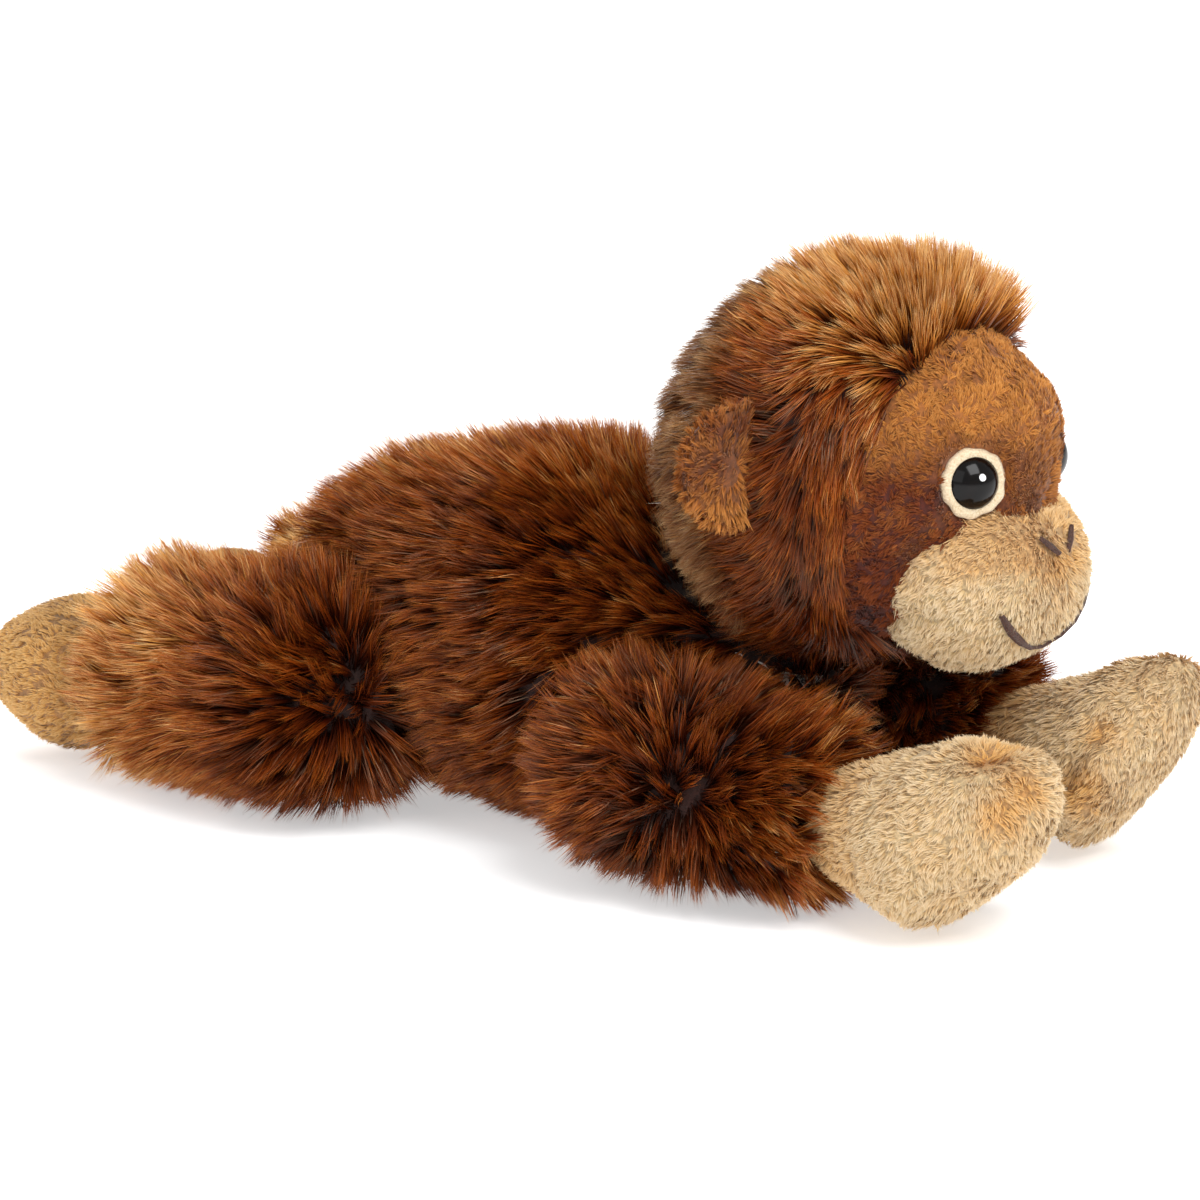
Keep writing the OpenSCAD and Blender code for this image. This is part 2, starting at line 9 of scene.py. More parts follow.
import bpy
import numpy as np
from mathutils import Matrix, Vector


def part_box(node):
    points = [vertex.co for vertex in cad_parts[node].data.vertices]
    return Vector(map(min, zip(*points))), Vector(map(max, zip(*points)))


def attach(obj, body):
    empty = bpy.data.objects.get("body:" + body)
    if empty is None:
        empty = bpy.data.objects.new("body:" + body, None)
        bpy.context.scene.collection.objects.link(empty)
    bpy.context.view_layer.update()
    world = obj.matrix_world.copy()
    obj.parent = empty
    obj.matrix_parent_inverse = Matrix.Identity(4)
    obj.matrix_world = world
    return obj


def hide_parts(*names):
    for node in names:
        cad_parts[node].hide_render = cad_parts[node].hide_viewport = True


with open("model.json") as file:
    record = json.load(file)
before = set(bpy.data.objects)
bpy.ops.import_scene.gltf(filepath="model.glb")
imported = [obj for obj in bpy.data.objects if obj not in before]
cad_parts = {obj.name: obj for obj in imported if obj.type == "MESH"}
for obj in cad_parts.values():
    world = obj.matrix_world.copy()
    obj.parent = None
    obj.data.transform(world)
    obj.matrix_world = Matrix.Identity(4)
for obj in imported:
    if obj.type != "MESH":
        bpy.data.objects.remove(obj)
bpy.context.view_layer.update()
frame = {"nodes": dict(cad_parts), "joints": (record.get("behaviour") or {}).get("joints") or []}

MM = 0.001
BAKE_UV = "OFBake"
JOINTS = {joint["name"]: joint for joint in frame["joints"]}
SIDES = {"right": -1, "left": 1}
FLOOR_GAP = 0.3 * MM
UP = np.array([0.0, 0.0, 1.0])
TAILWARD = np.array([0.0, 1.0, 0.0])


# ---------- Points and numbers ----------

def pivot(joint):
    return np.array(JOINTS[joint]["pos_m"])


HEAD = pivot("head_nod")


def node_points(node):
    return coords(frame["nodes"][node].data)


def centre(node):
    low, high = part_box(node)
    return np.array((low + high) / 2)


def half_size(node):
    low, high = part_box(node)
    return np.array((high - low) / 2)


def unit(vectors):
    return vectors / np.maximum(np.linalg.norm(vectors, axis=-1, keepdims=True), 1e-9)


def ramp(values, start, end):
    """0 at start and 1 at end, smooth between them; start may be the larger."""
    t = np.clip((values - start) / (end - start), 0, 1)
    return t * t * (3 - 2 * t)


def mix(a, b, share):
    """The share of the way from a to b, which are numbers, rows of numbers or rows of vectors."""
    if max(np.ndim(a), np.ndim(b)) > 1:
        share = share[:, None]
    return a * (1 - share) + b * share


def seeded(name):
    return np.random.default_rng(list(name.encode()))


def ripple(points, size, seed, waves=9):
    """Smooth noise, mostly from -1 to 1, with waves about size long."""
    rng = np.random.default_rng(seed)
    ways = unit(rng.normal(size=(waves, 3))) * (2 * math.pi / size) * rng.uniform(0.6, 1.5, (waves, 1))
    return np.sin(points @ ways.T + rng.uniform(0, 2 * math.pi, waves)).sum(1) / math.sqrt(waves)


def wander(points, size, seed):
    """Ways that turn smoothly from place to place."""
    return np.stack([ripple(points, size, seed + k) for k in range(3)], 1)


def mottle(points, coarse_seed, fine_seed):
    """Uneven shade of long fur: patches, and tufts within them."""
    return 0.07 * ripple(points, 22 * MM, coarse_seed) + 0.07 * ripple(points, 6 * MM, fine_seed)


def flattened(ways, normals):
    """The ways, laid in the planes that the normals stand on."""
    ways = np.broadcast_to(ways, normals.shape)
    return unit(ways - (ways * normals).sum(1, keepdims=True) * normals)


# ---------- Meshes ----------

def add_object(name, mesh):
    made = bpy.data.objects.new(name, mesh)
    bpy.context.scene.collection.objects.link(made)
    return made


def mesh_of(name, points, corners, starts, uv=None):
    """A mesh from its points, each face's corners in one row, and where each face starts."""
    mesh = bpy.data.meshes.new(name)
    mesh.vertices.add(len(points))
    mesh.vertices.foreach_set("co", np.ascontiguousarray(points, np.float32).ravel())
    mesh.loops.add(len(corners))
    mesh.loops.foreach_set("vertex_index", np.ascontiguousarray(corners, np.int32))
    mesh.polygons.add(len(starts))
    mesh.polygons.foreach_set("loop_start", np.ascontiguousarray(starts, np.int32))
    mesh.update(calc_edges=True)
    if uv is not None:
        layer = mesh.uv_layers.new(name=BAKE_UV)
        layer.data.foreach_set("uv", np.ascontiguousarray(uv, np.float32).ravel())
    mesh.shade_smooth()
    return mesh


def finish_piece(piece, body, slot, material, *nodes):
    piece.data.materials.clear()
    piece.data.materials.append(material)
    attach(piece, body)
    if nodes:
        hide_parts(*nodes)
    return piece


def vertex_values(mesh, name):
    values = np.zeros(len(mesh.vertices) * 3, np.float32)
    mesh.vertices.foreach_get(name, values)
    return values.reshape(-1, 3).astype(float)


def coords(mesh):
    return vertex_values(mesh, "co")


def normals_of(mesh):
    return vertex_values(mesh, "normal")


def set_coords(mesh, points):
    mesh.vertices.foreach_set("co", np.ascontiguousarray(points, np.float32).ravel())
    mesh.update()


def triangles(mesh):
    mesh.calc_loop_triangles()
    found = np.zeros(len(mesh.loop_triangles) * 3, np.int32)
    mesh.loop_triangles.foreach_get("vertices", found)
    return found.reshape(-1, 3)


def evaluated(piece):
    """The piece's mesh with its modifiers applied, in place of the old one."""
    graph = bpy.context.evaluated_depsgraph_get()
    mesh = bpy.data.meshes.new_from_object(piece.evaluated_get(graph), depsgraph=graph)
    piece.modifiers.clear()
    piece.data = mesh
    mesh.shade_smooth()
    return piece


def part_of(name, mesh, faces):
    """A mesh of only these triangles of a mesh."""
    used = np.unique(faces)
    number = np.zeros(len(mesh.vertices), int)
    number[used] = np.arange(len(used))
    return mesh_of(name, coords(mesh)[used], number[faces].ravel(), np.arange(len(faces)) * 3)


def largest_part(mesh):
    """Keeps only the mesh's largest connected part, which is its outer skin."""
    edges = np.zeros(len(mesh.edges) * 2, np.int32)
    mesh.edges.foreach_get("vertices", edges)
    edges = edges.reshape(-1, 2)
    label = np.arange(len(mesh.vertices))
    while True:
        low = np.minimum(label[edges[:, 0]], label[edges[:, 1]])
        new = label.copy()
        np.minimum.at(new, edges[:, 0], low)
        np.minimum.at(new, edges[:, 1], low)
        new = new[new]
        if (new == label).all():
            break
        label = new
    keep = label == np.bincount(label).argmax()
    if keep.all():
        return mesh
    faces = triangles(mesh)
    return part_of(mesh.name, mesh, faces[keep[faces].all(1)])


# ---------- Skins ----------

def skin_over(name, nodes, voxel, inset):
    """One closed skin over CAD nodes, drawn in by inset (a length, or a function of the points)."""
    points, faces, base = [], [], 0
    for node in nodes:
        mesh = frame["nodes"][node].data
        points.append(coords(mesh))
        faces.append(triangles(mesh) + base)
        base += len(mesh.vertices)
    faces = np.concatenate(faces)
    mesh = mesh_of(name, np.concatenate(points), faces.ravel(), np.arange(len(faces)) * 3)
    piece = add_object(name, mesh)
    remesh = piece.modifiers.new("remesh", "REMESH")
    remesh.mode = "VOXEL"
    remesh.voxel_size = voxel
    remesh.use_smooth_shade = True
    evaluated(piece)
    piece.data = largest_part(piece.data)
    smooth = piece.modifiers.new("smooth", "SMOOTH")
    smooth.factor = 0.5
    smooth.iterations = 3
    evaluated(piece)
    spots = coords(piece.data)
    depth = inset(spots) if callable(inset) else inset
    set_coords(piece.data, spots - normals_of(piece.data) * np.reshape(depth, (-1, 1)))
    return piece


CLOTH_STEPS = 20


def puffed(piece, cap, held=None, pressure=4.0):
    """Fills the skin by cloth simulation: held points stay, and no point moves further than cap."""
    before = coords(piece.data)
    cloth = piece.modifiers.new("cloth", "CLOTH")
    cloth.settings.quality = 4
    cloth.settings.mass = 0.3
    cloth.settings.use_pressure = True
    cloth.settings.uniform_pressure_force = pressure
    cloth.settings.effector_weights.gravity = 0
    if held is not None:
        group = piece.vertex_groups.new(name="held")
        group.add([int(i) for i in np.flatnonzero(held)], 1.0, "REPLACE")
        cloth.settings.vertex_group_mass = "held"
    for step in range(1, CLOTH_STEPS + 1):
        bpy.context.scene.frame_set(step)
    graph = bpy.context.evaluated_depsgraph_get()
    after = coords(piece.evaluated_get(graph).data)
    piece.modifiers.clear()
    piece.vertex_groups.clear()
    move = after - before
    size = np.linalg.norm(move, axis=1, keepdims=True)
    set_coords(piece.data, before + move * np.minimum(1, cap / np.maximum(size, 1e-9)))
    bpy.context.scene.frame_set(1)
    subdivide = piece.modifiers.new("subdivide", "SUBSURF")
    subdivide.levels = subdivide.render_levels = 1
    return evaluated(piece)


def groove(piece, distance, width, depth, share=1.0):
    """Draws the skin in along a seam; distance gives each point's distance from it."""
    points, normals = coords(piece.data), normals_of(piece.data)
    near = np.exp(-(distance / width) ** 2) * share
    set_coords(piece.data, points - normals * (near * depth)[:, None])


def pinch(piece, spot, radius, depth):
    """Draws the skin in around a spot, as a stitch through the pad does."""
    groove(piece, np.linalg.norm(coords(piece.data) - spot, axis=1), radius, depth)


def raise_top(piece, share, height):
    """Lifts each point of a skin by its share of a height, where the skin is fuller than its panel."""
    set_coords(piece.data, coords(piece.data) + UP * (share * height)[:, None])


UNDER_SKIN = 1.2 * MM


def fill_under(skin, name, body, slot, material, *nodes):
    """The fill just inside a skin that its stitches draw in."""
    fill = add_object(name, skin.data.copy())
    set_coords(fill.data, coords(skin.data) - normals_of(skin.data) * UNDER_SKIN)
    return finish_piece(fill, body, slot, material, *nodes)


def set_tone(piece, tone):
    """Stores the shade of each point of a skin, which its material reads."""
    attribute = piece.data.attributes.new("tone", "FLOAT", "POINT")
    attribute.data.foreach_set("value", np.clip(tone, 0, 1).astype(np.float32))


# ---------- Pile ----------

def scatter(skin, per_mm2, keep, rng):
    """Random points and normals on a skin; keep gives the share that stays at each point."""
    points, normals, faces = coords(skin.data), normals_of(skin.data), triangles(skin.data)
    a, b, c = (points[faces[:, i]] for i in range(3))
    area = np.linalg.norm(np.cross(b - a, c - a), axis=1) / 2
    count = int(area.sum() / MM ** 2 * per_mm2)
    pick = rng.choice(len(faces), count, p=area / area.sum())
    u, v = rng.random((2, count, 1))
    over = (u + v) > 1
    u, v = np.where(over, 1 - u, u), np.where(over, 1 - v, v)
    spots = a[pick] + u * (b - a)[pick] + v * (c - a)[pick]
    n = [normals[faces[pick, i]] for i in range(3)]
    turned = unit(n[0] + u * (n[1] - n[0]) + v * (n[2] - n[0]))
    stays = rng.random(count) < keep(spots, turned)
    return spots[stays], turned[stays]


def strands(name, paths, width, tone, looks):
    """Tapered flat strands along paths (strand, point, xyz), each with its width and its shade."""
    count, steps, _ = paths.shape
    paths[..., 2] = np.maximum(paths[..., 2], FLOOR_GAP + 0.6 * MM * (width / width.max())[:, None])
    along = unit(np.gradient(paths, axis=1))
    side = unit(np.cross(along, looks[:, None]))
    taper = np.sin(np.linspace(0.35, 1, steps) * math.pi) ** 0.5
    taper[-1] = 0
    reach = side * (width[:, None] * taper / 2)[..., None]
    edges = np.stack([paths[:, :-1] - reach[:, :-1], paths[:, :-1] + reach[:, :-1]], 2)
    points = np.concatenate([edges.reshape(count, -1, 3), paths[:, -1:]], 1)
    face = []
    starts = []
    for k in range(steps - 2):
        starts.append(len(face))
        face += [2 * k, 2 * k + 1, 2 * k + 3, 2 * k + 2]
    starts.append(len(face))
    face += [2 * steps - 4, 2 * steps - 3, 2 * steps - 2]
    per_strand = 2 * steps - 1
    corners = np.arange(count)[:, None] * per_strand + np.array(face)
    starts = np.arange(count)[:, None] * len(face) + np.array(starts)
    spread = 0.012
    across = np.array([-spread, spread] * (steps - 1) + [0])
    up = np.append(np.repeat(np.linspace(0, 1, steps)[:-1], 2), 1)
    u = (0.02 + 0.96 * np.clip(tone, 0, 1))[:, None] + across
    uv = np.stack([u, np.broadcast_to(up, u.shape)], 2)[:, face]
    mesh = mesh_of(name, points.reshape(-1, 3), corners.ravel(), starts.ravel(), uv)
    return add_object(name, mesh)


def pile(name, skin, style):
    """Pile in tufts all over a skin, as a style dictionary says."""
    rng = seeded(name)
    roots, normals = scatter(skin, style["tufts"], style["keep"], rng)
    count, per_tuft = len(roots), style["strands"]
    length = style["length"](roots, normals) * rng.uniform(0.8, 1.2, count)
    way, lift_first, lift_last = style["comb"](roots, normals)
    bunch = wander(roots, style["bunch"], 1)
    way = flattened(way + style["bunched"] * bunch + rng.normal(0, style["stray"], (count, 3)), normals)
    lifts = [np.radians(lift + rng.normal(0, 5, count))[:, None] for lift in (lift_first, lift_last)]
    first, last = (unit(normals * np.sin(lift) + way * np.cos(lift)) for lift in lifts)
    last = unit(last - UP * style["droop"])
    roots = roots - normals * style["sunk"]
    cross = np.cross(normals, way)
    turn = rng.uniform(0, 2 * math.pi, (count, per_tuft, 1))
    away = style["tuft_r"] * np.sqrt(rng.random((count, per_tuft, 1)))
    spread = away * (np.cos(turn) * way[:, None] + np.sin(turn) * cross[:, None])
    steps = style["steps"]
    share = rng.uniform(style["shortest"], 1.0, (count, per_tuft, 1)) * np.linspace(0, 1, steps)
    t = share[..., None]
    half = (length / 2)[:, None, None, None]
    curve = first[:, None, None] * half * 2 * t * (1 - t) + (first + last)[:, None, None] * half * t ** 2
    stay = 1 - style["clump"] * t ** 1.4
    wild = rng.normal(0, 1, (count, per_tuft, 1, 3)) * style["wild"] * length[:, None, None, None]
    loose = np.where(rng.random((count, per_tuft, 1, 1)) < style["flyaway"], 2.6, 1.0)
    paths = roots[:, None, None] + curve + spread[:, :, None] * stay + wild * loose * t ** 1.5
    tone = style["tone"](roots, normals) + rng.normal(0, style["mixed"], count)
    tone = tone[:, None] + rng.normal(0, style["mixed"], (count, per_tuft))
    width = style["width"] * rng.uniform(0.7, 1.25, (count, per_tuft))
    looks = unit(normals[:, None] + rng.normal(0, style["turned"], (count, per_tuft, 3)))
    flat = count * per_tuft
    return strands(name, paths.reshape(flat, steps, 3), width.ravel(), tone.ravel(), looks.reshape(flat, 3))


# ---------- Materials ----------

def finish_skin(skin, body, slot, tone):
    """Gives a skin its backing, in the shades of its tone."""
    set_tone(skin, tone)
    finish_piece(skin, body, slot, PLUSH[slot][1])


def grow(name, skin, body, slot, style, *nodes):
    """Grows pile on a skin, which together stand for the CAD's panels."""
    finish_piece(pile(name, skin, style), body, slot, PLUSH[slot][0], *nodes)


def linear(code):
    """Linear colour of a #rrggbb code."""
    parts = [int(code[i:i + 2], 16) / 255 for i in (1, 3, 5)]
    return [p / 12.92 if p <= 0.04045 else ((p + 0.055) / 1.055) ** 2.4 for p in parts] + [1.0]


class Nodes:
    """A short way to wire a material's nodes."""

    def __init__(self, name, roughness, sheen=0.0, specular=0.5):
        self.material = bpy.data.materials.new(name)
        self.material.use_nodes = True
        self.tree = self.material.node_tree
        self.shader = self.tree.nodes["Principled BSDF"]
        self.shader.inputs["Roughness"].default_value = roughness
        self.shader.inputs["Specular IOR Level"].default_value = specular
        self.shader.inputs["Sheen Weight"].default_value = sheen
        self.shader.inputs["Sheen Roughness"].default_value = 0.4

    def add(self, kind, **values):
        node = self.tree.nodes.new(kind)
        for key, value in values.items():
            if hasattr(node, key):
                setattr(node, key, value)
            else:
                node.inputs[key.replace("_", " ")].default_value = value
        return node

    def link(self, source, output, target, socket):
        self.tree.links.new(source.outputs[output], target.inputs[socket])

    def grain(self, size, texture="ShaderNodeTexNoise", **values):
        """A texture in the piece's own space, with grains of this size."""
        place = self.add("ShaderNodeTexCoord")
        node = self.add(texture, Scale=1 / size, **values)
        self.link(place, "Object", node, "Vector")
        return node

    def colours(self, stops, source, output):
        """A colour ramp over a value: stops are (place, code)."""
        node = self.add("ShaderNodeValToRGB")
        points = node.color_ramp.elements
        while len(points) < len(stops):
            points.new(0.5)
        for point, (place, code) in zip(points, stops):
            point.position, point.color = place, linear(code)
        self.link(source, output, node, "Fac")
        return node

    def blend(self, share, share_output, a, b, kind="MIX"):
        node = self.add("ShaderNodeMix", data_type="RGBA", blend_type=kind)
        if isinstance(share, float):
            node.inputs["Factor"].default_value = share
        else:
            self.link(share, share_output, node, "Factor")
        for socket, source in (("A", a), ("B", b)):
            target = [i for i in node.inputs if i.name == socket and i.type == "RGBA"][0]
            self.tree.links.new(source, target)
        return [o for o in node.outputs if o.type == "RGBA"][0]

    def finish(self, colour, bump=None, strength=0.3, distance=0.5 * MM):
        self.tree.links.new(colour, self.shader.inputs["Base Color"])
        if bump is not None:
            node = self.add("ShaderNodeBump", Strength=strength, Distance=distance)
            self.tree.links.new(bump, node.inputs["Height"])
            self.link(node, "Normal", self.shader, "Normal")
        return self.material


def pile_material(name, shades, roughness=0.3, sheen=0.0, specular=0.4, gloss=(1.0, 0.7, 0.45, 1.0)):
    """Strands coloured from root to tip (v) in each of several shades, blended by their tone (u)."""
    make = Nodes(name, roughness, sheen, specular)
    make.shader.inputs["Specular Tint"].default_value = gloss
    place = make.add("ShaderNodeUVMap", uv_map=BAKE_UV)
    split = make.add("ShaderNodeSeparateXYZ")
    make.link(place, "UV", split, "Vector")
    colour = make.colours(shades[0], split, "Y").outputs["Color"]
    step = 1 / (len(shades) - 1)
    for k, stops in enumerate(shades[1:]):
        share = make.add("ShaderNodeMapRange", From_Min=k * step, From_Max=(k + 1) * step)
        make.link(split, "X", share, "Value")
        colour = make.blend(share, "Result", colour, make.colours(stops, split, "Y").outputs["Color"])
    return make.finish(colour)


def backing_material(name, stops, fibre=1.2 * MM):
    """Knitted backing under the pile, in the shades that the skin's tone names."""
    make = Nodes(name, 0.9, 0.25)
    tone = make.add("ShaderNodeAttribute", attribute_name="tone")
    colour = make.colours(stops, tone, "Fac")
    noise = make.grain(fibre, Detail=4.0, Roughness=0.7)
    shade = make.colours([(0.3, "#9a9a9a"), (0.7, "#ffffff")], noise, "Fac")
    return make.finish(
        make.blend(1.0, None, colour.outputs["Color"], shade.outputs["Color"], "MULTIPLY"),
        noise.outputs["Fac"], 0.6,
    )


def grain_material(name, codes, size, roughness, bump=0.4, sheen=0.0, texture="ShaderNodeTexNoise"):
    """A grained solid: fill, felt, thread, tape or granules."""
    make = Nodes(name, roughness, sheen)
    grain = make.grain(size, texture)
    output = "Distance" if texture == "ShaderNodeTexVoronoi" else "Fac"
    colour = make.colours([(0.25, codes[0]), (0.75, codes[1])], grain, output)
    return make.finish(colour.outputs["Color"], grain.outputs[output], bump)


LONG_FUR = pile_material("long_fur", [
    [(0.0, "#120502"), (0.5, "#2c0c03"), (0.85, "#561d06"), (1.0, "#7e360e")],
    [(0.0, "#1c0703"), (0.4, "#5a1c05"), (0.8, "#a24a10"), (1.0, "#cc7c2c")],
    [(0.0, "#401808"), (0.35, "#a85a1a"), (0.7, "#e8a650"), (1.0, "#fde0a4")],
])
FROSTED_FUR = pile_material("frosted_fur", [
    [(0.0, "#120502"), (0.5, "#341307"), (0.85, "#66351a"), (1.0, "#8a5c34")],
    [(0.0, "#241008"), (0.45, "#5e2c10"), (0.8, "#a06a38"), (1.0, "#e6c692")],
])
MASK_PILE = pile_material("mask_pile", [
    [(0.0, "#581c06"), (0.6, "#6e2a0a"), (1.0, "#843a12")],
    [(0.0, "#b06a28"), (0.6, "#cc863c"), (1.0, "#e4a458")],
], 0.6, 0.15)
CREAM_PILE = pile_material("cream_pile", [
    [(0.0, "#b9823f"), (0.6, "#d8a45e"), (1.0, "#e6ba78")],
    [(0.0, "#b8945e"), (0.5, "#d8bf94"), (1.0, "#ecdcbe")],
], 0.6, 0.15)
FOOT_PILE = pile_material("foot_pile", [
    [(0.0, "#8a6236"), (0.6, "#b48850"), (1.0, "#caa470")],
    [(0.0, "#b0743a"), (0.6, "#d6a25c"), (1.0, "#eac486")],
], 0.6, 0.15)
LONG_BACKING = backing_material("long_backing", [(0.0, "#1c0903"), (1.0, "#3c1608")])
MASK_BACKING = backing_material("mask_backing", [(0.0, "#581c06"), (1.0, "#b87232")])
CREAM_BACKING = backing_material("cream_backing", [(0.0, "#c48a48"), (1.0, "#e6cb9c")])
FOOT_BACKING = backing_material("foot_backing", [(0.0, "#8f6f4a"), (1.0, "#bb8650")])
PLUSH = {
    "long_fur": (LONG_FUR, LONG_BACKING), "frosted_fur": (FROSTED_FUR, LONG_BACKING),
    "face_plush": (MASK_PILE, MASK_BACKING), "cream_plush": (CREAM_PILE, CREAM_BACKING),
    "foot_plush": (FOOT_PILE, FOOT_BACKING),
}
FELT = grain_material("eye_felt", ("#c4ab86", "#e9d9bc"), 0.5 * MM, 0.95, 0.5, 0.3)
THREAD = grain_material("dark_thread", ("#2a140c", "#5a3320"), 0.4 * MM, 0.5, 0.5, 0.2)
FILL = grain_material("fibre_fill", ("#dcdad4", "#fbfaf6"), 2.2 * MM, 0.95, 0.8, 0.3)
TAPE = grain_material("seam_tape", ("#24110a", "#4a2a1a"), 0.6 * MM, 0.9, 0.6)
COTTON = grain_material("pouch_cotton", ("#c9bc9c", "#efe6cf"), 0.5 * MM, 0.9, 0.5)
GRANULES = grain_material("pellets", ("#b9b8b2", "#f1f0ea"), 2.5 * MM, 0.35, 1.0,
                          texture="ShaderNodeTexVoronoi")
WASHER = grain_material("washer_plastic", ("#cfccc4", "#f0eee8"), 3 * MM, 0.4, 0.1)


def eye_material():
    """Black moulded dome, a touch brown in its depth, with faint scuffs in its gloss."""
    make = Nodes("eye_black", 0.13, 0.0, 0.22)
    noise = make.grain(4 * MM, Detail=3.0)
    colour = make.colours([(0.3, "#060505"), (0.8, "#120c0a")], noise, "Fac")
    return make.finish(colour.outputs["Color"], noise.outputs["Fac"], 0.02)


# Painted highlight: a white dot on each eye's dome that stands in for the lamps' reflection.
def painted_glint_material():
    make = Nodes("eye_painted_glint", 0.25)
    noise = make.grain(0.6 * MM)
    colour = make.colours([(0.2, "#ececea"), (0.8, "#ffffff")], noise, "Fac")
    return make.finish(colour.outputs["Color"])


EYE_BLACK = eye_material()
EYE_PAINTED_GLINT = painted_glint_material()


# ---------- Torso ----------

LONG_INSET = 3.2 * MM
FUR_LONG = 13.5 * MM
LONG = dict(sunk=0.8 * MM, tuft_r=1.6 * MM, clump=0.42, width=0.3 * MM, steps=3, strands=16, tufts=0.26,
            shortest=0.8, stray=0.12, droop=0.06, wild=0.045, flyaway=0.03, bunch=9 * MM, bunched=0.3,
            mixed=0.13, turned=0.55)
LONG_VOXEL = 4 * MM
LONG_PUFF = 2 * MM
RUMP_RISE = 4 * MM
HEAD_NEAR, ARM_NEAR, LEG_NEAR = 48 * MM, 25 * MM, 29 * MM


def near_ball(points, middle, radius, soft=6 * MM):
    return ramp(np.linalg.norm(points - middle, axis=1), radius + soft, radius)


def everywhere(points, normals):
    """Pile all over, thinner where the toy lies on it."""
    return 1 - 0.65 * ramp(-normals[:, 2], 0.75, 0.95)


def long_skin(name, nodes):
    return puffed(skin_over(name, nodes, LONG_VOXEL, LONG_INSET), LONG_PUFF)


def finish_long_skin(skin, body, seed):
    finish_skin(skin, body, "long_fur", 0.5 + 0.3 * ripple(coords(skin.data), 20 * MM, seed))


def crowded(points):
    """1 where the head or a limb lies against the body, and 0 in the open."""
    close = near_ball(points, HEAD, HEAD_NEAR)
    for side in SIDES:
        close = np.maximum(close, near_ball(points, pivot(side + "_arm_out"), ARM_NEAR))
        close = np.maximum(close, near_ball(points, pivot(side + "_leg_out"), LEG_NEAR))
    return close


def torso_comb(points, normals):
    flank = np.abs(normals[:, 0])
    way = np.stack([
        0.35 * normals[:, 0] + 0.25 * ripple(points, 30 * MM, 3),
        np.ones(len(points)),
        -0.25 * flank + 0.25 * ripple(points, 34 * MM, 4),
    ], 1)
    top = ramp(normals[:, 2], 0.2, 0.8)
    return way, mix(54.0, 66.0, top), mix(34.0, 48.0, top)


def torso_length(points, normals):
    pressed = ramp(-normals[:, 2], 0.3, 0.9)
    rump = ramp(normals[:, 2], 0.2, 0.9) * ramp(points[:, 1], -40 * MM, 20 * MM)
    return FUR_LONG * (1 + 0.15 * rump - 0.35 * pressed) * (1 - 0.6 * crowded(points) * (1 - rump))


def torso_tone(points, normals):
    # Painted highlight: the fur that faces straight up is lighter, as the light from above falls on it.
    top = ramp(normals[:, 2], 0.75, 0.99)
    rear = ramp(points[:, 1], 10 * MM, 70 * MM)
    low = ramp(points[:, 2], 22 * MM, 8 * MM)
    return 0.16 + 0.34 * top + 0.26 * rear + 0.12 * low + mottle(points, 5, 8)


def make_torso():
    nodes = ["torso_back_panel", "torso_belly_panel", "torso_stuffing", "pellet_pouch", "belly_pellets"]
    skin = long_skin("torso_skin", nodes)
    rump = ramp(normals_of(skin.data)[:, 2], 0.0, 0.8) * ramp(coords(skin.data)[:, 1], -50 * MM, 10 * MM)
    raise_top(skin, rump, RUMP_RISE)
    finish_long_skin(skin, "torso", 6)
    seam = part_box("torso_back_panel")[0].z
    zones = {
        "torso_back_fur_right": lambda p, n: everywhere(p, n) * (p[:, 2] >= seam) * (p[:, 0] < 0),
        "torso_back_fur_left": lambda p, n: everywhere(p, n) * (p[:, 2] >= seam) * (p[:, 0] >= 0),
        "torso_belly_fur": lambda p, n: everywhere(p, n) * (p[:, 2] < seam),
    }
    for name, keep in zones.items():
        style = dict(LONG, keep=keep, length=torso_length, comb=torso_comb, tone=torso_tone)
        panel = "torso_belly_panel" if "belly" in name else "torso_back_panel"
        grow(name, skin, "torso", "long_fur", style, panel)


# ---------- Arms and legs ----------

CALF_RISE = 5.5 * MM


def swirl_comb(middle, lift):
    """Pile that flows away from a swirl, as it does from an elbow or a knee."""
    def comb(points, normals):
        away = points - middle
        far_off = ramp(np.linalg.norm(away, axis=1), 4 * MM, 26 * MM)
        way = unit(away) + 0.25 * wander(points, 24 * MM, 11)
        return way, mix(68.0, lift + 10.0, far_off), mix(40.0, lift - 8.0, far_off)
    return comb


def limb_length(sign, full):
    def length(points, normals):
        inner = ramp(-normals[:, 0] * sign, 0.0, 0.8)
        pressed = ramp(-normals[:, 2], 0.4, 0.95)
        return full * (1 - 0.45 * inner) * (1 - 0.3 * pressed)
    return length


def arm_tone(side, middle):
    wrist = pivot(side + "_wrist_bend")

    def tone(points, normals):
        core = near_ball(points, middle, 8 * MM, 22 * MM)
        cuff = ramp(points[:, 1], wrist[1] + 26 * MM, wrist[1] + 6 * MM)
        return 0.2 - 0.12 * core + 0.35 * cuff + mottle(points, 21, 24)
    return tone


def leg_tone(side, middle):
    ankle = pivot(side + "_ankle_bend")

    def tone(points, normals):
        core = near_ball(points, middle, 10 * MM, 26 * MM)
        back = ramp(points[:, 1], middle[1] + 10 * MM, ankle[1] - 4 * MM)
        # Painted highlight: the back of the leg is lighter where it faces up, toward the light from above.
        top = ramp(normals[:, 2], 0.0, 0.9)
        return 0.26 - 0.14 * core + 0.5 * back + 0.26 * top * back + mottle(points, 23, 25)
    return tone


def raise_calf(skin, side):
    ankle = pivot(side + "_ankle_bend")
    back = ramp(coords(skin.data)[:, 1], ankle[1] - 50 * MM, ankle[1] - 14 * MM)
    raise_top(skin, ramp(normals_of(skin.data)[:, 2], -0.2, 0.7) * back, CALF_RISE)


LIMBS = {
    "arm": dict(swirl=np.array([9, -14, -1]) * MM, length=14 * MM, lift=40.0, seed=31, tone=arm_tone),
    "leg": dict(swirl=np.array([9, -16, 1]) * MM, length=15.5 * MM, lift=48.0, seed=33, tone=leg_tone),
}


